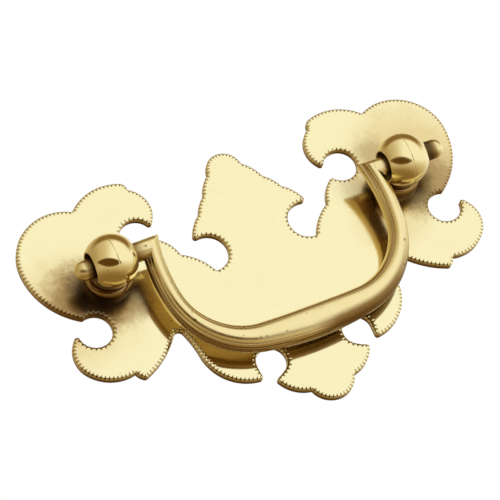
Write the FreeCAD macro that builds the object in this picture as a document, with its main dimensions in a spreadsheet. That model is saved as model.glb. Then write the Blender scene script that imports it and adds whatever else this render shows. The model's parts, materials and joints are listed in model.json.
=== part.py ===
import FreeCAD, Part
import math
import os
from collections import namedtuple

import Sketcher
from FreeCAD import Rotation, Vector

# Brass bail pull for a drawer front, in millimetres, in its mounted position.
# X runs along the drawer, Z is up, and the pull faces -Y.
# The origin is on the back of the plate, midway between the two posts.

# Driving dimensions
SIZES = {
    # Drilling in the drawer front
    "post_spacing": 76.2,
    # Backplate
    "plate_thickness": 1.8,
    "tip_round": 0.7,
    "arch_round": 1.2,
    "shank_hole_clearance": 0.15,
    # Posts
    "ball_radius": 6.45,
    "ball_height": 8.5,
    "neck_radius": 4.6,
    "collar_radius": 5.9,
    "collar_height": 2.6,
    "shank_radius": 4.0,
    "shank_length": 10.0,
    "shank_chamfer": 0.5,
    "screw_hole_radius": 1.73,
    "screw_hole_depth": 9.0,
    "bore_clearance": 0.25,
    "bore_mouth_radius": 4.8,
    "bore_mouth_depth": 2.75,
    # Bail: its pins, the path of its bar and where it hangs
    "pin_radius": 2.35,
    "pin_reach": 45.7,
    "bail_half_width": 29.5,
    "bail_widest_drop": 7.0,
    "grip_drop": 29.5,
    "arm_curve_radius": 41.0,
    "bend_radius": 18.4,
    "grip_curve_radius": 114.0,
    "bail_side_play": 0.9,
    "bail_lean": 6.8,
    # Bail: its moulded section
    "arm_end_width": 4.7,
    "arm_end_thickness": 4.5,
    "arm_end_radius": 2.4,
    "arm_foot_width": 4.8,
    "arm_foot_thickness": 4.5,
    "bend_width": 5.9,
    "bend_thickness": 5.0,
    "grip_width": 7.5,
    "grip_thickness": 5.6,
    "back_inset": 0.75,
    "groove_inset": 1.15,
    "crown_rise": 0.85,
    "bead_turn": 100.0,
}

CENTRE = "centre"
POST = "post"
OUTWARD = "outward"
INWARD = "inward"
SHARP = "sharp"
SMOOTH = "smooth"
TIP = "tip_round"
ARCH = "arch_round"

# A corner of the plate's edge: what it is measured from, how far across from that
# and how far up from the post line it lies, whether it is sharp, rounded off or a
# smooth joint, and how many degrees the arc that leaves it turns, bulging outward
# or inward. An arc that leaves a smooth joint takes its turn from the arc before it.
Corner = namedtuple("Corner", "name anchor across up joint turn bulge", defaults=(None, None))

# The right half of the edge, from the top of the crest to the bottom of the drop
CORNERS = [
    Corner("crest_top", CENTRE, 0.0, 21.1, SHARP, 88.0, OUTWARD),
    Corner("cap_cusp", CENTRE, 4.45, 16.8, SHARP, 37.0, OUTWARD),
    Corner("crest_dip_one", CENTRE, 7.9, 11.9, SHARP, 35.0, OUTWARD),
    Corner("crest_dip_two", CENTRE, 11.0, 7.8, SHARP, 44.0, OUTWARD),
    Corner("crest_tip", CENTRE, 15.0, 1.85, TIP, 208.0, INWARD),
    Corner("crest_notch_end", CENTRE, 13.3, -7.2, SHARP, 41.0, OUTWARD),
    Corner("shoulder_cusp", CENTRE, 19.4, -0.4, SHARP, 51.0, OUTWARD),
    Corner("neck_tip", POST, -14.5, 5.6, TIP, 313.0, INWARD),
    Corner("wing_tip", POST, -15.0, 8.85, TIP, 108.0, OUTWARD),
    Corner("hook_step", POST, -14.0, 19.8, SHARP, 59.0, OUTWARD),
    Corner("wing_top", POST, -13.3, 21.8, SHARP, 69.0, OUTWARD),
    Corner("lobe_cusp", POST, 0.6, 19.0, SHARP, 117.5, OUTWARD),
    Corner("lobe_side", POST, 18.3, 8.5, SMOOTH),
    Corner("lobe_tip", POST, 9.5, -7.5, TIP, 304.0, INWARD),
    Corner("foot_tip", POST, 12.0, -10.4, TIP, 97.0, OUTWARD),
    Corner("foot_heel", POST, 13.7, -20.8, SMOOTH),
    Corner("foot_step", POST, 3.6, -24.2, SHARP, 46.0, OUTWARD),
    Corner("tail_end", POST, 1.8, -26.25, TIP, 39.0, OUTWARD),
    Corner("arch_top", POST, -9.9, -16.8, ARCH, 20.5, INWARD),
    Corner("skirt_side", CENTRE, 26.0, -25.5, SMOOTH),
    Corner("skirt_tip", CENTRE, 14.7, -36.3, TIP, 7.0, INWARD),
    Corner("drop_notch", CENTRE, 14.9, -33.0, SMOOTH),
    Corner("drop_flare", CENTRE, 9.2, -36.0, SMOOTH),
    Corner("drop_tip", CENTRE, 12.2, -37.5, TIP, 61.0, OUTWARD),
    Corner("drop_cusp", CENTRE, 5.5, -42.9, SHARP, 72.0, OUTWARD),
    Corner("drop_bottom", CENTRE, 0.0, -46.9, SHARP),
]

# A cross section of the bail's bar: the stretch of the path that it stands on, and
# its share of the way along that stretch, counted from the middle of the grip
Section = namedtuple("Section", "name stretch along")

SECTIONS = [
    Section("arm_end", "Edge3", 1.0),
    Section("arm_foot", "Edge3", 0.0),
    Section("bend", "Edge2", 0.35),
    Section("grip", "Edge1", 0.0),
]

# The ends and the centre of a line or arc in a sketch, and the sketch's own axes
START = 1
END = 2
MIDDLE = 3
ORIGIN = -1
LEVEL_AXIS = -1
UPRIGHT_AXIS = -2
SAME_PLACE = 0.001
FULL_TURN = 360
HALF_TURN = 180

# The line that the balls and the pins share, in front of the plate
BALL_PLACE = "-Sizes.plate_thickness - Sizes.ball_height"
RIGHT = Vector(1, 0, 0)


def make_sheet(doc):
    """Put every driving dimension into a named cell of the sheet."""
    cells = dict(SIZES)
    for corner in CORNERS:
        cells[corner.name + "_across"] = corner.across
        cells[corner.name + "_up"] = corner.up
        if corner.turn:
            cells[corner.name + "_turn"] = corner.turn
    sheet = doc.addObject("Spreadsheet::Sheet", "Sizes")
    for row, (alias, number) in enumerate(cells.items(), start=1):
        sheet.set(f"A{row}", alias)
        sheet.set(f"B{row}", str(number))
        sheet.setAlias(f"B{row}", alias)
    doc.recompute()
    return sheet


def origin_plane(body, role):
    """Find one of a body's own origin planes by its role."""
    return next(item for item in body.Origin.OriginFeatures if item.Role == role)


def plane_sketch(body, name, role):
    """Start a sketch on one of a body's own origin planes."""
    sketch = body.newObject("Sketcher::SketchObject", name)
    sketch.AttachmentSupport = [(origin_plane(body, role), "")]
    sketch.MapMode = "FlatFace"
    return sketch


def bind(sketch, name, expression, *constraint):
    """Add a constraint and tie its value to the sheet."""
    index = sketch.addConstraint(Sketcher.Constraint(*constraint))
    sketch.renameConstraint(index, name)
    sketch.setExpression("Constraints." + name, expression)


def hold_point(sketch, name, geometry, end, place, across, up):
    """Tie a point's two distances from the sketch's origin to the sheet."""
    bind(sketch, name + "_across", across, "DistanceX", ORIGIN, START, geometry, end, place.x)
    bind(sketch, name + "_up", up, "DistanceY", ORIGIN, START, geometry, end, place.y)


def arc_between(first, last, turn, bulge):
    """Arc from one point to another that turns through an angle in radians.

    An outward arc runs clockwise from first to last and an inward one the other way.
    """
    if bulge == OUTWARD:
        first, last = last, first
    chord = last - first
    radius = chord.Length / (2 * math.sin(turn / 2))
    aside = Vector(-chord.y, chord.x, 0).normalize()
    middle = (first + last) / 2 + aside * radius * math.cos(turn / 2)
    spoke = first - middle
    begin = math.atan2(spoke.y, spoke.x)
    return Part.ArcOfCircle(Part.Circle(middle, Vector(0, 0, 1), radius), begin, begin + turn)


def toward(first, last, distance):
    """Point at a distance from one point toward another."""
    return first + (last - first).normalize() * distance


def arc_about(middle, first, last):
    """Arc about a centre, counterclockwise from one point to another."""
    begin = first - middle
    finish = last - middle
    circle = Part.Circle(middle, Vector(0, 0, 1), begin.Length)
    return Part.ArcOfCircle(circle, math.atan2(begin.y, begin.x), math.atan2(finish.y, finish.x))


def path_ends(bulge):
    """Which ends of an arc the edge enters and leaves by."""
    return (END, START) if bulge == OUTWARD else (START, END)


def leaving_heading(arc, bulge):
    """Direction in which the edge leaves an arc, as an angle in radians."""
    if bulge == OUTWARD:
        return arc.FirstParameter - math.pi / 2
    return arc.LastParameter + math.pi / 2


def smooth_turn(heading, first, last):
    """Turn and bulge of the arc that goes on smoothly from a heading to a point."""
    chord = last - first
    swing = math.remainder(math.atan2(chord.y, chord.x) - heading, 2 * math.pi)
    return 2 * abs(swing), INWARD if swing > 0 else OUTWARD


def corner_place(sheet, corner):
    """Where a corner lies on the plate."""
    anchor = sheet.post_spacing / 2 if corner.anchor == POST else 0
    across = getattr(sheet, corner.name + "_across")
    return Vector(anchor + across, getattr(sheet, corner.name + "_up"), 0)


def hold_corner(sketch, corner, geometry, end, place):
    """Tie a corner of the plate's edge to its cells, or to the middle line."""
    up = f"Sizes.{corner.name}_up"
    if place.x == 0:
        sketch.addConstraint(Sketcher.Constraint("PointOnObject", geometry, end, UPRIGHT_AXIS))
        bind(sketch, corner.name + "_up", up, "DistanceY", ORIGIN, START, geometry, end, place.y)
        return
    across = f"Sizes.{corner.name}_across"
    if corner.anchor == POST:
        across = "Sizes.post_spacing / 2 + " + across
    hold_point(sketch, corner.name, geometry, end, place, across, up)


def draw_plate_edge(sheet, sketch):
    """Draw the right half of the plate's edge as a closed chain of arcs."""
    places = [corner_place(sheet, corner) for corner in CORNERS]
    leaving = None
    heading = None
    for index, corner in enumerate(CORNERS[:-1]):
        first = places[index]
        last = places[index + 1]
        if corner.joint == SMOOTH:
            turn, bulge = smooth_turn(heading, first, last)
        else:
            turn = math.radians(getattr(sheet, corner.name + "_turn"))
            bulge = corner.bulge
        arc = arc_between(first, last, turn, bulge)
        sketch.addGeometry(arc)
        enter_end, leave_end = path_ends(bulge)
        if corner.joint == SMOOTH:
            sketch.addConstraint(Sketcher.Constraint("Tangent", *leaving, index, enter_end))
        else:
            bind(sketch, corner.name + "_turn", f"Sizes.{corner.name}_turn", "Angle", index, turn)
            if leaving:
                sketch.addConstraint(Sketcher.Constraint("Coincident", *leaving, index, enter_end))
        hold_corner(sketch, corner, index, enter_end, first)
        leaving = (index, leave_end)
        heading = leaving_heading(arc, bulge)

    top = (0, path_ends(CORNERS[0].bulge)[0])
    spine = sketch.addGeometry(Part.LineSegment(places[-1], places[0]))
    sketch.addConstraint(Sketcher.Constraint("Coincident", *leaving, spine, START))
    sketch.addConstraint(Sketcher.Constraint("Coincident", *top, spine, END))
    hold_corner(sketch, CORNERS[-1], spine, START, places[-1])


def corner_edges(sheet, feature, joint):
    """Names of the upright edges that stand on one kind of corner, on both halves."""
    names = []
    places = [corner_place(sheet, corner) for corner in CORNERS if corner.joint == joint]
    for number, edge in enumerate(feature.Shape.Edges, start=1):
        foot = edge.Vertexes[0].Point
        head = edge.Vertexes[-1].Point
        upright = abs(foot.x - head.x) + abs(foot.z - head.z) < SAME_PLACE
        on_corner = any(
            abs(abs(foot.x) - place.x) + abs(foot.z - place.y) < SAME_PLACE for place in places
        )
        if upright and on_corner:
            names.append(f"Edge{number}")
    return names


def round_corners(doc, sheet, body, base, joint):
    """Round off the plate's upright edges at one kind of corner."""
    rounded = body.newObject("PartDesign::Fillet", "rounded_" + joint)
    rounded.Base = (base, corner_edges(sheet, base, joint))
    rounded.setExpression("Radius", "Sizes." + joint)
    doc.recompute()
    return rounded


def make_backplate(doc, sheet):
    """The flat scrolled plate, with a hole for the shank of each post."""
    body = doc.addObject("PartDesign::Body", "backplate")
    edge = plane_sketch(body, "plate_edge", "XZ_Plane")
    draw_plate_edge(sheet, edge)
    doc.recompute()

    half = body.newObject("PartDesign::Pad", "half_plate")
    half.Profile = edge
    half.setExpression("Length", "Sizes.plate_thickness")
    doc.recompute()

    whole = body.newObject("PartDesign::Mirrored", "whole_plate")
    whole.Originals = [half]
    whole.MirrorPlane = (origin_plane(body, "YZ_Plane"), [""])
    body.Tip = whole
    doc.recompute()

    tips = round_corners(doc, sheet, body, whole, TIP)
    round_corners(doc, sheet, body, tips, ARCH)

    holes = plane_sketch(body, "shank_holes", "XZ_Plane")
    for side, name in ((-1, "left"), (1, "right")):
        middle = Vector(side * sheet.post_spacing / 2, 0, 0)
        radius = sheet.shank_radius + sheet.shank_hole_clearance
        hole = holes.addGeometry(Part.Circle(middle, Vector(0, 0, 1), radius))
        across = f"{side} * Sizes.post_spacing / 2"
        bind(holes, name + "_across", across, "DistanceX", ORIGIN, START, hole, MIDDLE, middle.x)
        holes.addConstraint(Sketcher.Constraint("PointOnObject", hole, MIDDLE, LEVEL_AXIS))
        wide = "Sizes.shank_radius + Sizes.shank_hole_clearance"
        bind(holes, name + "_radius", wide, "Radius", hole, radius)
    drilled = body.newObject("PartDesign::Pocket", "drilled_plate")
    drilled.Profile = holes
    drilled.Type = "ThroughAll"
    drilled.Midplane = True
    doc.recompute()
    return body


def draw_chain(sketch, places):
    """Draw straight lines from point to point, joined end to start."""
    lines = [
        sketch.addGeometry(Part.LineSegment(first, last)) for first, last in zip(places, places[1:])
    ]
    for before, after in zip(lines, lines[1:]):
        sketch.addConstraint(Sketcher.Constraint("Coincident", before, END, after, START))
    return lines


def draw_post(sheet, sketch):
    """Draw half of a post along its axis, with the screw hole in its shank."""
    front = -sheet.plate_thickness
    bead_round = sheet.collar_radius - sheet.neck_radius
    bead_place = front - sheet.collar_height + bead_round
    ball_place = front - sheet.ball_height
    neck_end = ball_place + math.sqrt(sheet.ball_radius**2 - sheet.neck_radius**2)
    hole_floor = sheet.shank_length - sheet.screw_hole_depth

    front_name = "-Sizes.plate_thickness"
    bead_name = "-Sizes.plate_thickness - Sizes.collar_height + Sizes.collar_radius - Sizes.neck_radius"
    waist = sheet.shank_radius - sheet.shank_chamfer
    turned_length = sheet.shank_length - sheet.shank_chamfer
    corners = [
        ("hole_floor", sheet.screw_hole_radius, hole_floor,
         "Sizes.screw_hole_radius", "Sizes.shank_length - Sizes.screw_hole_depth"),
        ("hole_mouth", sheet.screw_hole_radius, sheet.shank_length,
         "Sizes.screw_hole_radius", "Sizes.shank_length"),
        ("shank_end", waist, sheet.shank_length,
         "Sizes.shank_radius - Sizes.shank_chamfer", "Sizes.shank_length"),
        ("shank_side", sheet.shank_radius, turned_length,
         "Sizes.shank_radius", "Sizes.shank_length - Sizes.shank_chamfer"),
        ("shank_root", sheet.shank_radius, front, "Sizes.shank_radius", front_name),
        ("collar_back", sheet.collar_radius, front, "Sizes.collar_radius", front_name),
        ("collar_side", sheet.collar_radius, bead_place, "Sizes.collar_radius", bead_name),
    ]
    places = [Vector(0, hole_floor, 0)]
    places += [Vector(across, along, 0) for name, across, along, *names in corners]
    lines = draw_chain(sketch, places)
    for line, place, (name, across, along, *names) in zip(lines, places[1:], corners):
        hold_point(sketch, name, line, END, place, *names)
    sketch.addConstraint(Sketcher.Constraint("PointOnObject", lines[0], START, UPRIGHT_AXIS))
    sketch.addConstraint(Sketcher.Constraint("Horizontal", lines[0]))

    bead_middle = Vector(sheet.neck_radius, bead_place, 0)
    neck_root = Vector(sheet.neck_radius, front - sheet.collar_height, 0)
    neck_top = Vector(sheet.neck_radius, neck_end, 0)
    ball_middle = Vector(0, ball_place, 0)
    ball_front = Vector(0, ball_place - sheet.ball_radius, 0)
    bead = sketch.addGeometry(arc_about(bead_middle, neck_root, places[-1]))
    neck = sketch.addGeometry(Part.LineSegment(neck_root, neck_top))
    ball = sketch.addGeometry(arc_about(ball_middle, ball_front, neck_top))
    axis = sketch.addGeometry(Part.LineSegment(ball_front, places[0]))
    joints = [
        (lines[-1], END, bead, END), (bead, START, neck, START), (neck, END, ball, END),
        (ball, START, axis, START), (axis, END, lines[0], START),
    ]
    for joint in joints:
        sketch.addConstraint(Sketcher.Constraint("Coincident", *joint))
    hold_point(sketch, "bead_middle", bead, MIDDLE, bead_middle, "Sizes.neck_radius", bead_name)
    sketch.addConstraint(Sketcher.Constraint("Vertical", bead, START, bead, MIDDLE))
    sketch.addConstraint(Sketcher.Constraint("Vertical", neck))
    sketch.addConstraint(Sketcher.Constraint("PointOnObject", ball, MIDDLE, UPRIGHT_AXIS))
    sketch.addConstraint(Sketcher.Constraint("PointOnObject", ball, START, UPRIGHT_AXIS))
    bind(sketch, "ball_place", BALL_PLACE, "DistanceY", ORIGIN, START, ball, MIDDLE, ball_place)
    bind(sketch, "ball_radius", "Sizes.ball_radius", "Radius", ball, sheet.ball_radius)


def draw_bore(sheet, sketch):
    """Draw half of the bore for a pin along its axis, flared at both mouths."""
    bore_radius = sheet.pin_radius + sheet.bore_clearance
    mouth_foot = sheet.ball_radius - sheet.bore_mouth_depth
    bore_name = "Sizes.pin_radius + Sizes.bore_clearance"
    foot_name = "(Sizes.ball_radius - Sizes.bore_mouth_depth)"
    places = [
        Vector(-sheet.ball_radius, 0, 0),
        Vector(-sheet.ball_radius, sheet.bore_mouth_radius, 0),
        Vector(-mouth_foot, bore_radius, 0),
        Vector(mouth_foot, bore_radius, 0),
        Vector(sheet.ball_radius, sheet.bore_mouth_radius, 0),
        Vector(sheet.ball_radius, 0, 0),
    ]
    left_end, left_flare, bore, right_flare, right_end = draw_chain(sketch, places)
    axis = sketch.addGeometry(Part.LineSegment(places[-1], places[0]))
    sketch.addConstraint(Sketcher.Constraint("Coincident", right_end, END, axis, START))
    sketch.addConstraint(Sketcher.Constraint("Coincident", axis, END, left_end, START))
    for end in (START, END):
        sketch.addConstraint(Sketcher.Constraint("PointOnObject", axis, end, LEVEL_AXIS))
    for line in (left_end, right_end):
        sketch.addConstraint(Sketcher.Constraint("Vertical", line))
    rim = "Sizes.bore_mouth_radius"
    hold_point(sketch, "left_rim", left_end, END, places[1], "-Sizes.ball_radius", rim)
    hold_point(sketch, "left_foot", left_flare, END, places[2], "-" + foot_name, bore_name)
    hold_point(sketch, "right_foot", bore, END, places[3], foot_name, bore_name)
    hold_point(sketch, "right_rim", right_flare, END, places[4], "Sizes.ball_radius", rim)


def make_post(doc, sheet, name, side):
    """A turned ball post with a collar and a tapped shank, bored across for the pin."""
    body = doc.addObject("PartDesign::Body", name)
    outline = plane_sketch(body, name + "_outline", "XY_Plane")
    draw_post(sheet, outline)
    turned = body.newObject("PartDesign::Revolution", name + "_turned")
    turned.Profile = outline
    turned.ReferenceAxis = (outline, ["V_Axis"])
    turned.Angle = FULL_TURN
    doc.recompute()

    bore_outline = plane_sketch(body, name + "_bore_outline", "XY_Plane")
    bore_outline.setExpression("AttachmentOffset.Base.y", BALL_PLACE)
    draw_bore(sheet, bore_outline)
    bored = body.newObject("PartDesign::Groove", name + "_bored")
    bored.Profile = bore_outline
    bored.ReferenceAxis = (bore_outline, ["H_Axis"])
    bored.Angle = FULL_TURN
    body.setExpression("Placement.Base.x", f"{side} * Sizes.post_spacing / 2")
    doc.recompute()
    return body


def draw_bail_path(sheet, path):
    """Draw half of the bar's middle line: arm, bend and grip, each an arc."""
    arm_middle = Vector(sheet.bail_half_width - sheet.arm_curve_radius, -sheet.bail_widest_drop, 0)
    grip_middle = Vector(0, sheet.grip_curve_radius - sheet.grip_drop, 0)
    arm_reach = sheet.arm_curve_radius - sheet.bend_radius
    grip_reach = sheet.grip_curve_radius - sheet.bend_radius
    apart = (grip_middle - arm_middle).Length
    along = (arm_reach**2 - grip_reach**2 + apart**2) / (2 * apart)
    aside = math.sqrt(arm_reach**2 - along**2)
    line = (grip_middle - arm_middle).normalize()
    bend_middle = arm_middle + line * along + Vector(line.y, -line.x, 0) * aside

    arm_rise = sheet.arm_end_radius + sheet.arm_end_width / 4
    top_rise = arm_rise + sheet.bail_widest_drop
    top = arm_middle + Vector(math.sqrt(sheet.arm_curve_radius**2 - top_rise**2), top_rise, 0)
    arm_foot = toward(arm_middle, bend_middle, sheet.arm_curve_radius)
    grip_end = toward(grip_middle, bend_middle, sheet.grip_curve_radius)
    grip_centre = Vector(0, -sheet.grip_drop, 0)

    arm = path.addGeometry(arc_about(arm_middle, arm_foot, top))
    bend = path.addGeometry(arc_about(bend_middle, grip_end, arm_foot))
    grip = path.addGeometry(arc_about(grip_middle, grip_centre, grip_end))
    path.addConstraint(Sketcher.Constraint("Tangent", bend, END, arm, START))
    path.addConstraint(Sketcher.Constraint("Tangent", grip, END, bend, START))
    path.addConstraint(Sketcher.Constraint("PointOnObject", grip, START, UPRIGHT_AXIS))
    path.addConstraint(Sketcher.Constraint("PointOnObject", grip, MIDDLE, UPRIGHT_AXIS))
    bind(path, "grip_drop", "-Sizes.grip_drop", "DistanceY", ORIGIN, START, grip, START, grip_centre.y)
    rise = "Sizes.arm_end_radius + Sizes.arm_end_width / 4"
    bind(path, "arm_rise", rise, "DistanceY", ORIGIN, START, arm, END, arm_rise)
    hold_point(
        path, "arm_middle", arm, MIDDLE, arm_middle,
        "Sizes.bail_half_width - Sizes.arm_curve_radius", "-Sizes.bail_widest_drop",
    )
    bind(path, "arm_radius", "Sizes.arm_curve_radius", "Radius", arm, sheet.arm_curve_radius)
    bind(path, "bend_radius", "Sizes.bend_radius", "Radius", bend, sheet.bend_radius)
    bind(path, "grip_radius", "Sizes.grip_curve_radius", "Radius", grip, sheet.grip_curve_radius)


def draw_bail_section(sheet, section, sketch):
    """Draw a section: a flat back, a bead at each side and a rounded crown between grooves."""
    width = getattr(sheet, section.name + "_width")
    thickness = getattr(sheet, section.name + "_thickness")
    back = Vector(width / 2 - sheet.back_inset, -thickness / 2, 0)
    groove = Vector(width / 2 - sheet.groove_inset, thickness / 2 - sheet.crown_rise, 0)
    other_back = Vector(-back.x, back.y, 0)
    other_groove = Vector(-groove.x, groove.y, 0)
    crown = Vector(0, thickness / 2, 0)
    bead_turn = math.radians(sheet.bead_turn)

    right_bead = sketch.addGeometry(arc_between(back, groove, bead_turn, INWARD))
    top = sketch.addGeometry(Part.Arc(groove, crown, other_groove))
    left_bead = sketch.addGeometry(arc_between(other_groove, other_back, bead_turn, INWARD))
    flat = sketch.addGeometry(Part.LineSegment(other_back, back))
    ring = [right_bead, top, left_bead, flat]
    for before, after in zip(ring, ring[1:] + ring[:1]):
        sketch.addConstraint(Sketcher.Constraint("Coincident", before, END, after, START))

    name = section.name
    back_across = f"Sizes.{name}_width / 2 - Sizes.back_inset"
    back_up = f"-Sizes.{name}_thickness / 2"
    groove_across = f"Sizes.{name}_width / 2 - Sizes.groove_inset"
    groove_up = f"Sizes.{name}_thickness / 2 - Sizes.crown_rise"
    crown_radius = f"(({groove_across}) ^ 2 + Sizes.crown_rise ^ 2) / (2 * Sizes.crown_rise)"
    hold_point(sketch, "back", right_bead, START, back, back_across, back_up)
    hold_point(sketch, "groove", right_bead, END, groove, groove_across, groove_up)
    for first, second in (((flat, START), (flat, END)), ((top, END), (top, START))):
        sketch.addConstraint(Sketcher.Constraint("Symmetric", *first, *second, UPRIGHT_AXIS))
    bind(sketch, "right_bead_turn", "Sizes.bead_turn", "Angle", right_bead, bead_turn)
    bind(sketch, "left_bead_turn", "Sizes.bead_turn", "Angle", left_bead, bead_turn)
    radius = sketch.Geometry[top].Radius
    bind(sketch, "crown_radius", crown_radius, "Radius", top, radius)


def draw_arm_end(sheet, sketch):
    """Draw the strip that is turned off round the top of an arm."""
    inner = sheet.bail_half_width - sheet.arm_end_width
    outer = sheet.bail_half_width + sheet.arm_end_width
    low = sheet.arm_end_radius
    high = sheet.arm_end_radius + sheet.arm_end_width
    corners = [Vector(inner, low, 0), Vector(outer, low, 0), Vector(outer, high, 0), Vector(inner, high, 0)]
    ring = [
        sketch.addGeometry(Part.LineSegment(before, after))
        for before, after in zip(corners, corners[1:] + corners[:1])
    ]
    for before, after in zip(ring, ring[1:] + ring[:1]):
        sketch.addConstraint(Sketcher.Constraint("Coincident", before, END, after, START))
    for side, direction in zip(ring, ("Horizontal", "Vertical", "Horizontal", "Vertical")):
        sketch.addConstraint(Sketcher.Constraint(direction, side))
    bottom, top = ring[0], ring[2]
    hold_point(
        sketch, "inner_corner", bottom, START, corners[0],
        "Sizes.bail_half_width - Sizes.arm_end_width", "Sizes.arm_end_radius",
    )
    hold_point(
        sketch, "outer_corner", top, START, corners[2],
        "Sizes.bail_half_width + Sizes.arm_end_width", "Sizes.arm_end_radius + Sizes.arm_end_width",
    )


def draw_pin(sheet, sketch):
    """Draw half of a pin along its axis, with a rounded end."""
    inner = Vector(sheet.bail_half_width, 0, 0)
    shoulder = Vector(sheet.bail_half_width, sheet.pin_radius, 0)
    round_foot = Vector(sheet.pin_reach, sheet.pin_radius, 0)
    tip = Vector(sheet.pin_reach + sheet.pin_radius, 0, 0)
    axis = sketch.addGeometry(Part.LineSegment(inner, tip))
    dome = sketch.addGeometry(arc_about(Vector(sheet.pin_reach, 0, 0), tip, round_foot))
    side = sketch.addGeometry(Part.LineSegment(round_foot, shoulder))
    end = sketch.addGeometry(Part.LineSegment(shoulder, inner))
    for before, after in ((axis, dome), (side, end), (end, axis)):
        sketch.addConstraint(Sketcher.Constraint("Coincident", before, END, after, START))
    sketch.addConstraint(Sketcher.Constraint("PointOnObject", axis, START, LEVEL_AXIS))
    sketch.addConstraint(Sketcher.Constraint("PointOnObject", axis, END, LEVEL_AXIS))
    sketch.addConstraint(Sketcher.Constraint("PointOnObject", dome, MIDDLE, LEVEL_AXIS))
    sketch.addConstraint(Sketcher.Constraint("Horizontal", side))
    sketch.addConstraint(Sketcher.Constraint("Vertical", end))
    sketch.addConstraint(Sketcher.Constraint("Tangent", dome, END, side, START))
    across = "Sizes.bail_half_width"
    bind(sketch, "inner_end", across, "DistanceX", ORIGIN, START, axis, START, inner.x)
    reach = "Sizes.pin_reach"
    bind(sketch, "pin_reach", reach, "DistanceX", ORIGIN, START, dome, MIDDLE, sheet.pin_reach)
    bind(sketch, "pin_radius", "Sizes.pin_radius", "Radius", dome, sheet.pin_radius)


def make_bail(doc, sheet):
    """The swinging handle: a moulded bar that swells at the grip, and two pins."""
    body = doc.addObject("PartDesign::Body", "bail")
    path = plane_sketch(body, "bail_path", "XZ_Plane")
    draw_bail_path(sheet, path)
    doc.recompute()

    profiles = []
    for section in SECTIONS:
        sketch = body.newObject("Sketcher::SketchObject", section.name + "_section")
        sketch.AttachmentSupport = [(path, section.stretch)]
        sketch.MapMode = "FrenetNB"
        sketch.MapPathParameter = section.along
        draw_bail_section(sheet, section, sketch)
        profiles.append(sketch)
    doc.recompute()

    bar = body.newObject("PartDesign::AdditivePipe", "half_bar")
    bar.Profile = profiles[0]
    bar.Sections = profiles[1:]
    bar.Spine = (path, ["Edge1", "Edge2", "Edge3"])
    bar.Transformation = "Multisection"
    doc.recompute()

    end_outline = plane_sketch(body, "arm_end_outline", "XZ_Plane")
    draw_arm_end(sheet, end_outline)
    round_end = body.newObject("PartDesign::Groove", "round_arm_end")
    round_end.Profile = end_outline
    round_end.ReferenceAxis = (end_outline, ["H_Axis"])
    round_end.Midplane = True
    round_end.Angle = HALF_TURN
    doc.recompute()

    pin_outline = plane_sketch(body, "pin_outline", "XZ_Plane")
    draw_pin(sheet, pin_outline)
    pin = body.newObject("PartDesign::Revolution", "pin")
    pin.Profile = pin_outline
    pin.ReferenceAxis = (pin_outline, ["H_Axis"])
    pin.Angle = FULL_TURN
    doc.recompute()

    whole = body.newObject("PartDesign::Mirrored", "whole_bail")
    whole.Originals = [bar, round_end, pin]
    whole.MirrorPlane = (origin_plane(body, "YZ_Plane"), [""])
    body.Tip = whole

    body.Placement.Rotation = Rotation(RIGHT, 0)
    body.setExpression("Placement.Base.x", "Sizes.bail_side_play")
    body.setExpression("Placement.Base.y", BALL_PLACE)
    body.setExpression("Placement.Rotation.Angle", "Sizes.bail_lean")
    doc.recompute()
    return body


def check(doc, pieces):
    """Stop if any object failed or any piece is not one sound solid."""
    for item in doc.Objects:
        if "Invalid" in item.State or "Error" in item.State:
            raise RuntimeError(f"{item.Name} failed: {item.State}")
    for piece in pieces:
        if piece.Shape.isNull() or not piece.Shape.isValid() or len(piece.Shape.Solids) != 1:
            raise RuntimeError(f"{piece.Label} is not one sound solid")


def main():
    """Build the pull and write each piece to its own file."""
    doc = FreeCAD.newDocument("bail_pull")
    sheet = make_sheet(doc)
    pieces = [
        make_backplate(doc, sheet),
        make_post(doc, sheet, "left_post", -1),
        make_post(doc, sheet, "right_post", 1),
        make_bail(doc, sheet),
    ]
    doc.recompute()
    check(doc, pieces)
    os.makedirs("parts", exist_ok=True)
    for piece in pieces:
        piece.Shape.exportStep(f"parts/{piece.Label}.step")


main()
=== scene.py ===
"""Brass bail pull: the looks of the plate, the ball posts and the swinging bail.

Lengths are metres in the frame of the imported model: X along the drawer, Z up, and
the pull faces -Y.
"""

from __future__ import annotations

import json
import logging
import math
from dataclasses import dataclass, field
from enum import Enum
from typing import NamedTuple

import bmesh
import bpy
import numpy as np
from mathutils import Matrix, Vector
from mathutils.kdtree import KDTree

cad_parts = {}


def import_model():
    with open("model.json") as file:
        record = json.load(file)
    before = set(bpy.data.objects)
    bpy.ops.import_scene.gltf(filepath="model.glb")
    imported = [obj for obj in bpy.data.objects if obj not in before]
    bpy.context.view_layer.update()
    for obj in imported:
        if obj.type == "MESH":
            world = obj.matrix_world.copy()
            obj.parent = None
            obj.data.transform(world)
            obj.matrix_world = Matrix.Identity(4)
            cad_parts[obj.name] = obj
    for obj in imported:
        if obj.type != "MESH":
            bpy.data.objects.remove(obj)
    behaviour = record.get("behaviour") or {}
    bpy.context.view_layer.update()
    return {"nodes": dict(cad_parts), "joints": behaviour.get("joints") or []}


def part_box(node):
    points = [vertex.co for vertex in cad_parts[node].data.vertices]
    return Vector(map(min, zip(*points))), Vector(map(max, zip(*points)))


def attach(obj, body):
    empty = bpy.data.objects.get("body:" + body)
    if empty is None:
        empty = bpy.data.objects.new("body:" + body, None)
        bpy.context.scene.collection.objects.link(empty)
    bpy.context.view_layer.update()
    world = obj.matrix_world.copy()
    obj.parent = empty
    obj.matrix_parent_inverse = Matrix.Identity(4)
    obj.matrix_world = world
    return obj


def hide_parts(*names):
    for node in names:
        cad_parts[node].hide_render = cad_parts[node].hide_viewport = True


LOG = logging.getLogger("bail_pull")
MM = 0.001
TINY = 1e-6
SLIVER = 0.1 * TINY
# Name of the mesh attribute with the share of patina and painted shade at each point
PATINA_AND_SHADE = "patina"
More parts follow.
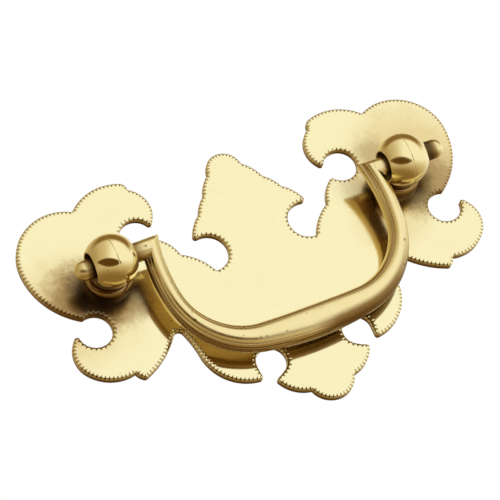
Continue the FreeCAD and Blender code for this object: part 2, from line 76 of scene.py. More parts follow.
NOISE_MEAN = 0.5
Point = tuple[float, float, float]


class Tint(Enum):
    """Linear colours of the brass and of what surrounds it, with their opacity; some brass tints also paint
    shade and reflection.
    """

    POLISHED_BRASS = (0.955, 0.872, 0.520, 1.0)
    WARM_BRASS = (0.930, 0.810, 0.430, 1.0)
    SATIN_BRASS = (0.920, 0.785, 0.405, 1.0)
    # Golden tone of the brass, also used for painted reflection on the plate
    GOLDEN_BRASS_AND_REFLECTION = (0.760, 0.560, 0.225, 1.0)
    # Tarnish brown, also used for painted shade on the plate and for patina and painted shade on the pieces
    TARNISH_AND_SHADE_BRASS = (0.360, 0.225, 0.080, 1.0)
    # Deep tarnish, partly painted shadow and reflection round the posts
    DEEP_TARNISH_AND_SHADE = (0.115, 0.080, 0.038, 1.0)
    # Darkest brass, for pits and dark patina, and for painted shade in the bores
    EDGE_BRASS = (0.110, 0.068, 0.024, 1.0)
    STUDIO_WHITE = (1.0, 1.0, 1.0, 1.0)
    PALE_FLOOR = (0.86, 0.86, 0.85, 1.0)


class Turn(Enum):
    """Axes that a turned piece can have, as the order of (radius, radius, height)."""

    ABOUT_X = (1, 2, 0)
    ABOUT_Y = (2, 0, 1)


class Join(Enum):
    """Ways to put two closed pieces together."""

    UNION = "UNION"
    OVERLAP = "INTERSECT"


class NodeTree:
    """Short calls for placing and joining nodes in one tree."""

    # Places of a colour mix's share and two colours among its inputs, and of its result
    MIX_INPUTS = (0, 6, 7)
    MIX_OUTPUT = 2

    def __init__(self, tree: bpy.types.NodeTree) -> None:
        """Keep the tree that the nodes go into.

        Args:
            tree: the tree of a material, a world or a group.
        """
        self.tree = tree

    @classmethod
    def emptied(cls, owner: bpy.types.Material | bpy.types.World) -> NodeTree:
        """Clear the nodes of a material or a world.

        Args:
            owner: the new material or world.

        Returns:
            Its empty tree.
        """
        owner.use_nodes = True
        owner.node_tree.nodes.clear()
        return cls(owner.node_tree)

    def add(self, kind: str, **settings: object) -> bpy.types.Node:
        """Place a node.

        Args:
            kind: the node's type name.
            settings: properties to set on it.

        Returns:
            The new node.
        """
        node = self.tree.nodes.new(kind)
        for name, value in settings.items():
            setattr(node, name, value)
        return node

    def join(self, source: bpy.types.NodeSocket, target: bpy.types.NodeSocket) -> None:
        """Link an output to an input."""
        self.tree.links.new(source, target)

    def give(self, value: object, socket: bpy.types.NodeSocket) -> None:
        """Link an output to an input, or set the input to a plain value.

        Args:
            value: an output or a value.
            socket: the input.
        """
        if isinstance(value, bpy.types.NodeSocket):
            self.join(value, socket)
        else:
            socket.default_value = value

    def feed(self, node: bpy.types.Node, **inputs: object) -> bpy.types.Node:
        """Set or link a node's inputs by name.

        Args:
            node: the node whose inputs are set.
            inputs: input names, with underscores for spaces, and a value or an output.

        Returns:
            The same node.
        """
        for name, value in inputs.items():
            self.give(value, node.inputs[name.replace("_", " ")])
        return node

    def show(self, shader: bpy.types.NodeSocket, kind: str = "ShaderNodeOutputMaterial") -> None:
        """Hand a shader to the tree's output node."""
        self.join(shader, self.add(kind).inputs["Surface"])

    def place(self) -> bpy.types.NodeSocket:
        """Where a point lies in the piece's own frame."""
        return self.add("ShaderNodeTexCoord").outputs["Object"]

    def noise(
        self, place: bpy.types.NodeSocket, scale: object, detail: float = 2.0, roughness: float = 0.5
    ) -> bpy.types.NodeSocket:
        """Cloudy noise from 0 to 1.

        Args:
            place: where a point lies.
            scale: how fine the noise is.
            detail: how many finer layers it has.
            roughness: how strong they are.

        Returns:
            The noise's output.
        """
        node = self.add("ShaderNodeTexNoise")
        self.feed(node, Vector=place, Scale=scale, Detail=detail, Roughness=roughness)
        return node.outputs["Fac"]

    def math(self, operation: str, first: object, second: object = 0.0) -> bpy.types.NodeSocket:
        """Place a math node on two values or outputs.

        Args:
            operation: the node's operation.
            first: first value or output.
            second: second value or output.

        Returns:
            The node's output.
        """
        node = self.add("ShaderNodeMath", operation=operation)
        for value, socket in zip((first, second), node.inputs):
            self.give(value, socket)
        return node.outputs[0]

    def ramp(self, value: bpy.types.NodeSocket, low: float, high: float) -> bpy.types.NodeSocket:
        """Smooth step of a value from 0 at low to 1 at high.

        Args:
            value: the output to read.
            low: where the step starts.
            high: where the step ends.

        Returns:
            The stepped output.
        """
        node = self.add("ShaderNodeMapRange", interpolation_type="SMOOTHSTEP")
        self.feed(node, Value=value, From_Min=low, From_Max=high)
        return node.outputs["Result"]

    def blend(self, share: object, first: object, second: object) -> bpy.types.NodeSocket:
        """Mix two colours by a share.

        Args:
            share: output or value from 0 to 1.
            first: colour or output at 0.
            second: colour or output at 1.

        Returns:
            The mixed colour.
        """
        node = self.add("ShaderNodeMix", data_type="RGBA")
        for value, number in zip((share, first, second), self.MIX_INPUTS):
            self.give(value, node.inputs[number])
        return node.outputs[self.MIX_OUTPUT]


class SurfaceGroups:
    """Shader node groups for the effects that several finishes share."""

    # Weights of the polish's two noises, and the stretch of their sum that is spread out
    CLOUD_WEIGHT = 0.65
    MARK_WEIGHT = 0.35
    POLISH_RANGE = (0.3, 0.7)
    # Fineness of the pits' ragged edges, their least size and how steep they are
    PIT_FRAY_SCALE = 3.0
    LEAST_PIT = 0.02
    PIT_EDGE = 0.7

    def __init__(self) -> None:
        """Build each group once."""
        self.polish = self._polish()
        self.pits = self._pits()

    @staticmethod
    def _start(name: str, inputs: dict[str, float], outputs: tuple[str, ...]) -> NodeTree:
        """Make an empty group with named sockets.

        Args:
            name: the group's name.
            inputs: input names and their default values.
            outputs: output names.

        Returns:
            The group's tree.
        """
        group = bpy.data.node_groups.new(name, "ShaderNodeTree")
        for label, value in inputs.items():
            socket = group.interface.new_socket(label, in_out="INPUT", socket_type="NodeSocketFloat")
            socket.default_value = value
        for label in outputs:
            group.interface.new_socket(label, in_out="OUTPUT", socket_type="NodeSocketFloat")
        return NodeTree(group)

    def _polish(self) -> bpy.types.NodeTree:
        """Hand polish: cloudy roughness with fine wiping marks and a faint ripple.

        Returns:
            The group, which puts out a roughness and a height.
        """
        tree = self._start(
            "hand_polish",
            {"Cloud Scale": 60.0, "Mark Scale": 900.0, "Low": 0.1, "High": 0.2},
            ("Roughness", "Ripple"),
        )
        given = tree.add("NodeGroupInput").outputs
        put = tree.add("NodeGroupOutput").inputs
        place = tree.place()
        cloud = tree.noise(place, given["Cloud Scale"], detail=3.0, roughness=0.55)
        marks = tree.noise(place, given["Mark Scale"], detail=4.0, roughness=0.6)
        both = tree.math(
            "ADD",
            tree.math("MULTIPLY", cloud, self.CLOUD_WEIGHT),
            tree.math("MULTIPLY", marks, self.MARK_WEIGHT),
        )
        spread = tree.ramp(both, *self.POLISH_RANGE)
        span = tree.math("SUBTRACT", given["High"], given["Low"])
        tree.join(tree.math("ADD", tree.math("MULTIPLY", spread, span), given["Low"]), put["Roughness"])
        tree.join(both, put["Ripple"])
        return tree.tree

    def _pits(self) -> bpy.types.NodeTree:
        """Casting pits: sparse small dark spots of uneven size.

        Returns:
            The group, which puts out a mask.
        """
        tree = self._start("casting_pits", {"Scale": 500.0, "Size": 0.2, "Share": 0.35}, ("Mask",))
        given = tree.add("NodeGroupInput").outputs
        put = tree.add("NodeGroupOutput").inputs
        place = tree.place()
        cells = tree.feed(tree.add("ShaderNodeTexVoronoi"), Vector=place, Scale=given["Scale"])
        split = tree.feed(tree.add("ShaderNodeSeparateColor"), Color=cells.outputs["Color"])
        chosen = tree.math("LESS_THAN", split.outputs["Red"], given["Share"])
        wide = tree.math("MULTIPLY", given["Size"], split.outputs["Green"])
        ragged = tree.noise(place, tree.math("MULTIPLY", given["Scale"], self.PIT_FRAY_SCALE))
        away = tree.math("MULTIPLY", cells.outputs["Distance"], tree.math("DIVIDE", ragged, NOISE_MEAN))
        reach = tree.math("ADD", wide, self.LEAST_PIT)
        near = tree.math("SUBTRACT", 1.0, tree.math("DIVIDE", away, reach))
        tree.join(tree.math("MULTIPLY", chosen, tree.ramp(near, 0.0, self.PIT_EDGE)), put["Mask"])
        return tree.tree


@dataclass(frozen=True)
class Spot:
    """A mark on the plate, partly tarnish and partly painted shadow and reflection of the balls and the
    bail: full up to one distance from its middle, gone at another.
    """

    x: float
    z: float
    full: float
    gone: float
    strength: float
    tint: Tint
    fray: float = 0.8

    def share(
        self, tree: NodeTree, x: bpy.types.NodeSocket, z: bpy.types.NodeSocket, cloud: bpy.types.NodeSocket
    ) -> bpy.types.NodeSocket:
        """How much of the mark lies at a place, with a ragged edge.

        Args:
            tree: the material's tree.
            x: the place's X.
            z: the place's Z.
            cloud: noise that frays the edge.

        Returns:
            An output from 0 to the mark's strength.
        """
        across = tree.math("SUBTRACT", x, self.x)
        rise = tree.math("SUBTRACT", z, self.z)
        square = tree.math("ADD", tree.math("MULTIPLY", across, across), tree.math("MULTIPLY", rise, rise))
        ragged = tree.math("MULTIPLY", tree.math("SUBTRACT", cloud, NOISE_MEAN), self.fray * self.gone)
        frayed = tree.math("ADD", tree.math("SQRT", square), ragged)
        return tree.math("MULTIPLY", tree.ramp(frayed, self.gone, self.full), self.strength)


@dataclass(frozen=True)
class BrassFinish:
    """A polished brass surface with its wiping marks, pits and tarnish, and painted shade and reflection.
    """

    name: str
    bright: Tint
    low_roughness: float
    high_roughness: float
    cloud_scale: float
    ripple: float
    pit_scale: float
    pit_size: float
    pit_share: float
    # How dark and deep the pits are, against the ripple of the polish
    pit_tint: float = 0.7
    pit_depth: float = 0.6
    bump_height: float = 0.02 * MM
    # Where the patina and painted shade turn brown and then dark, and how dull they get
    brown_range: tuple[float, float] = (0.0, 0.55)
    dark_range: tuple[float, float] = (0.35, 1.0)
    dulling: float = 0.18
    # Faint golden patches all over, and the marks, which are partly tarnish and partly painted shadow and
    # reflection
    patch_scale: float = 260.0
    patch_detail: float = 8.0
    patch_roughness: float = 0.76
    patch_range: tuple[float, float] = (0.5, 0.85)
    patch_strength: float = 0.25
    spots: tuple[Spot, ...] = ()

    def build(self, groups: SurfaceGroups) -> bpy.types.Material:
        """Make the material.

        Args:
            groups: the shared surface effects.

        Returns:
            The new material.
        """
        material = bpy.data.materials.new(self.name)
        tree = NodeTree.emptied(material)
        polish = tree.feed(
            tree.add("ShaderNodeGroup", node_tree=groups.polish),
            Cloud_Scale=self.cloud_scale, Low=self.low_roughness, High=self.high_roughness,
        ).outputs
        pits = tree.feed(
            tree.add("ShaderNodeGroup", node_tree=groups.pits),
            Scale=self.pit_scale, Size=self.pit_size, Share=self.pit_share,
        ).outputs["Mask"]
        # Share of patina and painted shade from the mesh
        worn = tree.add("ShaderNodeAttribute", attribute_name=PATINA_AND_SHADE).outputs["Fac"]
        # Colour with tarnish and the plate's painted shadow and reflection
        colour, stain_and_shade = self._tarnish_and_shade(tree)
        colour = tree.blend(tree.ramp(worn, *self.brown_range), colour, Tint.TARNISH_AND_SHADE_BRASS.value)
        colour = tree.blend(tree.ramp(worn, *self.dark_range), colour, Tint.EDGE_BRASS.value)
        colour = tree.blend(tree.math("MULTIPLY", pits, self.pit_tint), colour, Tint.EDGE_BRASS.value)
        height = tree.math("SUBTRACT", polish["Ripple"], tree.math("MULTIPLY", pits, self.pit_depth))
        bump = tree.feed(
            tree.add("ShaderNodeBump"), Strength=self.ripple, Distance=self.bump_height, Height=height
        )
        dull = tree.math("MULTIPLY", tree.math("MAXIMUM", worn, stain_and_shade), self.dulling)
        roughness = tree.math("ADD", polish["Roughness"], dull)
        shader = tree.feed(
            tree.add("ShaderNodeBsdfPrincipled"),
            Base_Color=colour, Metallic=1.0, Roughness=roughness, Normal=bump.outputs["Normal"],
        )
        tree.show(shader.outputs["BSDF"])
        return material

    def _tarnish_and_shade(self, tree: NodeTree) -> tuple[bpy.types.NodeSocket, bpy.types.NodeSocket]:
        """Colour of the metal under its wear: cloudy patches, and the marks in their order, which are
        partly tarnish and partly painted shadow and reflection.

        Args:
            tree: the material's tree.

        Returns:
            The colour, and how much of a place is covered by patches and marks, from 0 to 1.
        """
        place = tree.place()
        split = tree.feed(tree.add("ShaderNodeSeparateXYZ"), Vector=place).outputs
        cloud = tree.noise(place, self.patch_scale, self.patch_detail, self.patch_roughness)
        stain_and_shade = tree.math("MULTIPLY", tree.ramp(cloud, *self.patch_range), self.patch_strength)
        colour = tree.blend(stain_and_shade, self.bright.value, Tint.GOLDEN_BRASS_AND_REFLECTION.value)
        for spot in self.spots:
            share = spot.share(tree, split["X"], split["Z"], cloud)
            colour = tree.blend(share, colour, spot.tint.value)
            stain_and_shade = tree.math("MAXIMUM", stain_and_shade, share)
        return colour, stain_and_shade


def write_patina_and_shade(mesh: bpy.types.Mesh, patina: np.ndarray) -> None:
    """Set the share of patina and painted shade at each of a mesh's points."""
    mesh.attributes[PATINA_AND_SHADE].data.foreach_set("value", patina.astype(np.float32))


class Shell:
    """Points and faces of one mesh while it is put together."""

    def __init__(self) -> None:
        """Start with nothing."""
        self.points: list[Point] = []
        self.faces: list[tuple[int, ...]] = []

    def add_grid(self, grid: np.ndarray, wrap_rows: bool = False, wrap_columns: bool = False) -> np.ndarray:
        """Add rows of points and the quads between them.

        Args:
            grid: points as an array of rows, columns and three coordinates.
            wrap_rows: join the last row to the first.
            wrap_columns: join the last column to the first.

        Returns:
            The points' numbers, as an array of rows and columns.
        """
        rows, columns = grid.shape[:2]
        numbers = np.arange(rows * columns).reshape(rows, columns) + len(self.points)
        self.points.extend(map(tuple, grid.reshape(-1, 3)))
        for row in range(rows if wrap_rows else rows - 1):
            below = (row + 1) % rows
            for column in range(columns if wrap_columns else columns - 1):
                beside = (column + 1) % columns
                corners = ((row, column), (row, beside), (below, beside), (below, column))
                self.faces.append(tuple(int(numbers[corner]) for corner in corners))
        return numbers

    def close_ring(self, ring: np.ndarray, tip: np.ndarray, flip: bool) -> None:
        """Close a ring of points with a fan to one tip.

        Args:
            ring: numbers of the ring's points in order.
            tip: the tip's coordinates.
            flip: turn the faces over.
        """
        centre = len(self.points)
        self.points.append(tuple(tip))
        for first, last in zip(ring, np.roll(ring, -1)):
            pair = (int(last), int(first)) if flip else (int(first), int(last))
            self.faces.append((*pair, centre))

    def to_object(self, name: str, patina: np.ndarray | float = 0.0) -> bpy.types.Object:
        """Make an object of the points and faces.

        Args:
            name: the object's name.
            patina: share of patina and painted shade at each point, or one share for all.

        Returns:
            The new object, linked to the scene.
        """
        mesh = bpy.data.meshes.new(name)
        mesh.from_pydata(self.points, [], self.faces)
        mesh.validate()
        mesh.attributes.new(PATINA_AND_SHADE, "FLOAT", "POINT")
        write_patina_and_shade(mesh, np.broadcast_to(patina, len(self.points)))
        body = bmesh.new()
        body.from_mesh(mesh)
        bmesh.ops.recalc_face_normals(body, faces=body.faces)
        body.to_mesh(mesh)
        body.free()
        piece = bpy.data.objects.new(name, mesh)
        bpy.context.scene.collection.objects.link(piece)
        return piece


def smooth(piece: bpy.types.Object, crease: float) -> None:
    """Shade a piece smooth, with sharp edges where faces meet at more than an angle.

    Args:
        piece: the object to shade.
        crease: the angle in degrees.
    """
    piece.data.shade_smooth()
    piece.data.set_sharp_from_angle(angle=math.radians(crease))


def combine(base: bpy.types.Object, other: bpy.types.Object, way: Join) -> None:
    """Change a closed piece by another one and drop the other.

    Args:
        base: the piece that stays.
        other: the piece that is used up.
        way: how the two are put together.
    """
    change = base.modifiers.new("combine", "BOOLEAN")
    change.operation = way.value
    change.solver = "EXACT"
    change.object = other
    bpy.context.view_layer.update()
    seen = base.evaluated_get(bpy.context.evaluated_depsgraph_get())
    mesh = bpy.data.meshes.new_from_object(seen)
    base.modifiers.remove(change)
    base.data = mesh
    bpy.data.objects.remove(other)
    body = bmesh.new()
    body.from_mesh(mesh)
    bmesh.ops.dissolve_degenerate(body, dist=SLIVER, edges=body.edges)
    body.to_mesh(mesh)
    body.free()


def carry_patina_and_shade(mesh: bpy.types.Mesh, known: list[tuple[list[Point], np.ndarray]]) -> None:
    """Give each point of a combined mesh the patina and painted shade of the nearest point that it came
    from.

    Args:
        mesh: the combined mesh.
        known: the points of each piece that went in, and their patina and painted shade.
    """
    points = [point for places, _ in known for point in places]
    patina = np.concatenate([shares for _, shares in known])
    finder = KDTree(len(points))
    for index, point in enumerate(points):
        finder.insert(point, index)
    finder.balance()
    nearest = [finder.find(vert.co)[1] for vert in mesh.vertices]
    write_patina_and_shade(mesh, patina[nearest])


def turned(profile: np.ndarray, axis: Turn, steps: int, closed: bool) -> Shell:
    """Turn a profile about an axis through the origin.

    Args:
        profile: rows of (radius, height).
        axis: the axis that it turns about.
        steps: sides of the round.
        closed: the profile is a ring and needs no tips.

    Returns:
        The turned shell.
    """
    angles = np.linspace(0.0, 2 * math.pi, steps, endpoint=False)
    grid = np.zeros((len(profile), steps, 3))
    first, second, along = axis.value
    grid[:, :, first] = profile[:, :1] * np.cos(angles)
    grid[:, :, second] = profile[:, :1] * np.sin(angles)
    grid[:, :, along] = profile[:, 1:2]
    shell = Shell()
    numbers = shell.add_grid(grid, wrap_rows=closed, wrap_columns=True)
    if not closed:
        for ring, row, flip in ((numbers[0], profile[0], True), (numbers[-1], profile[-1], False)):
            tip = np.zeros(3)
            tip[along] = row[1]
            shell.close_ring(ring, tip, flip)
    return shell


def arc(centre: tuple[float, float], radius: float, start: float, stop: float, steps: int) -> np.ndarray:
    """Points of a round stretch.

    Args:
        centre: the arc's centre.
        radius: its radius.
        start: first angle in degrees.
        stop: last angle in degrees.
        steps: how many points.

    Returns:
        Rows of two coordinates.
    """
    angles = np.radians(np.linspace(start, stop, steps))
    return np.column_stack((centre[0] + radius * np.cos(angles), centre[1] + radius * np.sin(angles)))


def curve(
    share: np.ndarray, start: np.ndarray, stop: np.ndarray, leave: np.ndarray, arrive: np.ndarray
) -> np.ndarray:
    """Smooth curve between two ends with given slopes.

    Args:
        share: how far along the curve, from 0 to 1.
        start: value at its start.
        stop: value at its end.
        leave: slope at its start.
        arrive: slope at its end.

    Returns:
        The curve's value at each share.
    """
    square, cube = share**2, share**3
    return (
        (2 * cube - 3 * square + 1) * start + (cube - 2 * square + share) * leave
        + (3 * square - 2 * cube) * stop + (cube - square) * arrive
    )


def ease(places: np.ndarray, stations: np.ndarray, values: np.ndarray) -> np.ndarray:
    """Smooth values between stations, with no overshoot.

    Args:
        places: where values are wanted.
        stations: where they are given.
        values: the given values.

    Returns:
        One value for each place.
    """
    gaps = np.diff(stations)
    slopes = np.diff(values) / gaps
    slope = np.zeros(len(values))
    for index in range(1, len(values) - 1):
        before, after = slopes[index - 1], slopes[index]
        slope[index] = 2 * before * after / (before + after) if before * after > 0 else 0.0
    span = np.clip(np.searchsorted(stations, places, side="right") - 1, 0, len(gaps) - 1)
    share = np.clip((places - stations[span]) / gaps[span], 0.0, 1.0)
    rise = gaps[span] * slope[span]
    return curve(share, values[span], values[span + 1], rise, gaps[span] * slope[span + 1])


class EdgeStep(NamedTuple):
    """A point of the plate's edge, the way into the plate, and the distance to the nearest notch."""

    point: np.ndarray
    inward: np.ndarray
    offset: float


@dataclass
class Backplate:
    """The flat scrolled plate, with a rounded and notched edge."""

    finish: BrassFinish
    node: str = "backplate"
    body: str = "plate"
    slot: str = "plate_brass"
    # Rounded edge, and the notches filed across it
    edge_width: float = 0.75 * MM
    edge_drop: float = 0.42 * MM
    notch_pitch: float = 1.0 * MM
    notch_half_width: float = 0.13 * MM
    notch_flank: float = 0.10 * MM
    notch_reach: float = 0.9 * MM
    notch_depth: float = 0.5 * MM
    reach_shares: tuple[float, ...] = (0.0, 0.06, 0.2, 0.42, 0.7, 1.0)
    flat_margin: float = 0.3 * MM
    back_margin: float = 0.15 * MM
    # Patina, from 0 for bright to 1 for dark
    back_darkness: float = 0.3
    wall_patina: float = 0.85
    edge_patina: float = 0.1
    notch_patina: float = 0.6
    # Fineness of the mesh, with turns in degrees
    steps_per_notch: int = 10
    corner_turn: float = 24.0
    fan_turn: float = 6.0
    clear_share: float = 0.985
    points_at_once: int = 256
    crease: float = 50.0

    def build(self, source: bpy.types.Object, groups: SurfaceGroups) -> bpy.types.Object:
        """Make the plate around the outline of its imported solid.

        Args:
            source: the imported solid's object.
            groups: the shared surface effects.

        Returns:
            The new plate.
        """
        low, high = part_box(self.node)
        front, back = low.y, high.y
        loops = self._front_loops(source, front)
        edge, *holes = sorted(loops, key=lambda loop: -np.ptp(loop[:, 0]))
        samples = self._sample(edge)
        piece = self._mesh(samples, holes, front, back)
        piece.data.materials.append(self.finish.build(groups))
        smooth(piece, self.crease)
        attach(piece, self.body)
        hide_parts(self.node)
        return piece

    @staticmethod
    def _front_loops(source: bpy.types.Object, front: float) -> list[np.ndarray]:
        """Read the closed edges of a solid's front face.

        Args:
            source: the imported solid's object.
            front: the Y of its front face.

        Returns:
            Each closed edge as rows of (x, z).
        """
        body = bmesh.new()
        body.from_mesh(source.data)
        bmesh.ops.remove_doubles(body, verts=body.verts, dist=TINY)
        off = [face for face in body.faces if any(abs(vert.co.y - front) > TINY for vert in face.verts)]
        bmesh.ops.delete(body, geom=off, context="FACES")
        body.edges.index_update()
        rim = {edge.index: edge for edge in body.edges if edge.is_boundary}
        loops = []
        while rim:
            _, edge = rim.popitem()
            start, here = edge.verts
            loop = [start.co.copy(), here.co.copy()]
            while here is not start:
                edge = next(other for other in here.link_edges if other.index in rim)
                del rim[edge.index]
                here = edge.other_vert(here)
                loop.append(here.co.copy())
            loops.append(np.array([(point.x, point.z) for point in loop[:-1]]))
        body.free()
        return loops

    def _sample(self, edge: np.ndarray) -> list[EdgeStep]:
        """Walk along the edge in even steps, notch by notch.

        Args:
            edge: the edge's own points, as rows of (x, z).

        Returns:
            The steps in order. A corner that points into the plate fans out.
        """
        following = np.roll(edge, -1, axis=0)
        if np.sum(edge[:, 0] * following[:, 1] - following[:, 0] * edge[:, 1]) < 0:
            edge = edge[::-1]
        ahead = np.roll(edge, -1, axis=0) - edge
        heading = np.arctan2(ahead[:, 1], ahead[:, 0])
        turn = (heading - np.roll(heading, 1) + math.pi) % (2 * math.pi) - math.pi
        corners = np.flatnonzero(np.abs(turn) > math.radians(self.corner_turn))
        samples = []
        for first, last in zip(corners, np.roll(corners, -1)):
            count = (last - first) % len(edge)
            stretch = edge[(first + np.arange(count + 1)) % len(edge)]
            run = self._smooth_run(stretch)
            samples.extend(run)
            if turn[last] < 0:
                samples.extend(self._fan(run[-1], turn[last]))
        return samples

    def _smooth_run(self, stretch: np.ndarray) -> list[EdgeStep]:
        """Sample one smooth stretch of the edge between two corners.

        Args:
            stretch: its points in order.

        Returns:
            Its steps in order.
        """
        gaps = np.linalg.norm(np.diff(stretch, axis=0), axis=1)
        along = np.concatenate(((0.0,), np.cumsum(gaps)))
        slope = np.gradient(stretch, along, axis=0, edge_order=2 if len(along) > 2 else 1)
        notches = max(1, round(along[-1] / self.notch_pitch))
        steps = np.linspace(0.0, along[-1], notches * self.steps_per_notch + 1)
        span = np.clip(np.searchsorted(along, steps, side="right") - 1, 0, len(gaps) - 1)
        gap = gaps[span][:, None]
        share = ((steps - along[span]) / gaps[span])[:, None]
        points = curve(share, stretch[span], stretch[span + 1], slope[span] * gap, slope[span + 1] * gap)
        tangent = np.gradient(points, axis=0)
        tangent /= np.linalg.norm(tangent, axis=1)[:, None]
        inward = np.column_stack((-tangent[:, 1], tangent[:, 0]))
        pitch = along[-1] / notches
        offset = np.abs((steps / pitch) % 1.0 - 0.5) * pitch
        return [EdgeStep(*step) for step in zip(points, inward, offset)]

    def _fan(self, step: EdgeStep, turn: float) -> list[EdgeStep]:
        """Steps that turn on the spot at a corner that points into the plate.

        Args:
            step: the step before the corner.
            turn: how far the edge turns there, in radians.

        Returns:
            The new steps.
        """
        point, inward, offset = step
        count = max(2, int(abs(turn) / math.radians(self.fan_turn)))
        fan = []
        for share in np.linspace(0.0, 1.0, count + 1)[1:-1]:
            angle = turn * share
            turned_way = np.array((
                inward[0] * math.cos(angle) - inward[1] * math.sin(angle),
                inward[0] * math.sin(angle) + inward[1] * math.cos(angle),
            ))
            fan.append(EdgeStep(point, turned_way, offset))
        return fan

    def _inset(self, points: np.ndarray, inward: np.ndarray, reach: float) -> np.ndarray:
        """Move the edge into the plate without letting it cross itself.

        Args:
            points: the edge's points.
            inward: the direction into the plate at each.
            reach: how far to move.

        Returns:
            The moved points; those that would cross lie at the meeting point.
        """
        moved = points + inward * reach
        clear = np.empty(len(moved), bool)
        for first in range(0, len(moved), self.points_at_once):
            block = slice(first, first + self.points_at_once)
            away = np.linalg.norm(moved[block, None, :] - points[None, :, :], axis=2)
            clear[block] = away.min(axis=1) > reach * self.clear_share - TINY
        good = np.flatnonzero(clear)
        for before, after in zip(good, np.roll(good, -1)):
            missing = (after - before - 1) % len(moved)
            if missing:
                meeting = (moved[before] + moved[after]) / 2
                moved[(before + 1 + np.arange(missing)) % len(moved)] = meeting
        return moved

    def _mesh(
        self, samples: list[EdgeStep], holes: list[np.ndarray], front: float, back: float
    ) -> bpy.types.Object:
        """Build the plate from its sampled edge, in rings from the back over the edge to the front.

        Args:
            samples: steps along the edge.
            holes: the round holes' edges.
            front: the Y of the front face.
            back: the Y of the back face.

        Returns:
            The plate's object, with the patina of its edge as an attribute.
        """
        points, inward, offset = (np.array(column) for column in zip(*samples))
        flank = np.maximum(offset - self.notch_half_width, 0.0) / self.notch_flank
        within = self._inset(points, inward, self.back_margin)
        rows = [self._ring(within, back), self._ring(points, back)]
        patina = [np.full(len(points), share) for share in (self.back_darkness, self.wall_patina)]
        for reach in np.array(self.reach_shares) * self.notch_reach:
            inset = self._inset(points, inward, reach) if reach else points
            lean = 1.0 - min(reach / self.edge_width, 1.0)
            drop = self.edge_drop * (1.0 - math.sqrt(max(0.0, 1.0 - lean**2)))
            floor = self.notch_depth * (1.0 - reach / self.notch_reach - flank)
            depth = np.maximum(drop, floor)
            cut = np.maximum(depth - drop, 0.0) / self.notch_depth
            rows.append(self._ring(inset, front + depth))
            patina.append(np.clip(self.edge_patina * lean + self.notch_patina * cut, 0.0, 1.0))
        margin = self._inset(points, inward, self.notch_reach + self.flat_margin)
        rows.append(self._ring(margin, front))
        patina.append(np.zeros(len(points)))

        shell = Shell()
        shell.add_grid(np.array(rows), wrap_columns=True)
        piece = shell.to_object("plate", np.concatenate(patina))
        self._close(piece.data, holes, front, back)
        return piece

    @staticmethod
    def _ring(points: np.ndarray, depth: np.ndarray | float) -> np.ndarray:
        """Stand a closed line of (x, z) points at a depth."""
        return np.column_stack((points[:, 0], np.broadcast_to(depth, len(points)), points[:, 1]))

    def _close(self, mesh: bpy.types.Mesh, holes: list[np.ndarray], front: float, back: float) -> None:
        """Fill the plate's front and back, round the holes, and line the holes.

        Args:
            mesh: the plate's rim.
            holes: the round holes' edges.
            front: the Y of the front face.
            back: the Y of the back face.
        """
        body = bmesh.new()
        body.from_mesh(mesh)
        bmesh.ops.remove_doubles(body, verts=body.verts, dist=TINY)
        share = body.verts.layers.float[PATINA_AND_SHADE]
        for hole in holes:
            rings = [[body.verts.new((x, level, z)) for x, z in hole] for level in (front, back)]
            for vert in rings[1]:
                vert[share] = self.back_darkness
            for index in range(len(hole)):
                beside = (index + 1) % len(hole)
                body.faces.new((rings[0][index], rings[0][beside], rings[1][beside], rings[1][index]))
        body.edges.ensure_lookup_table()
        for level in (front, back):
            rim = [
                edge for edge in body.edges
                if edge.is_boundary and all(abs(vert.co.y - level) < TINY for vert in edge.verts)
            ]
            bmesh.ops.triangle_fill(body, use_beauty=True, use_dissolve=False, edges=rim)
        bmesh.ops.recalc_face_normals(body, faces=body.faces)
        body.to_mesh(mesh)
        body.free()


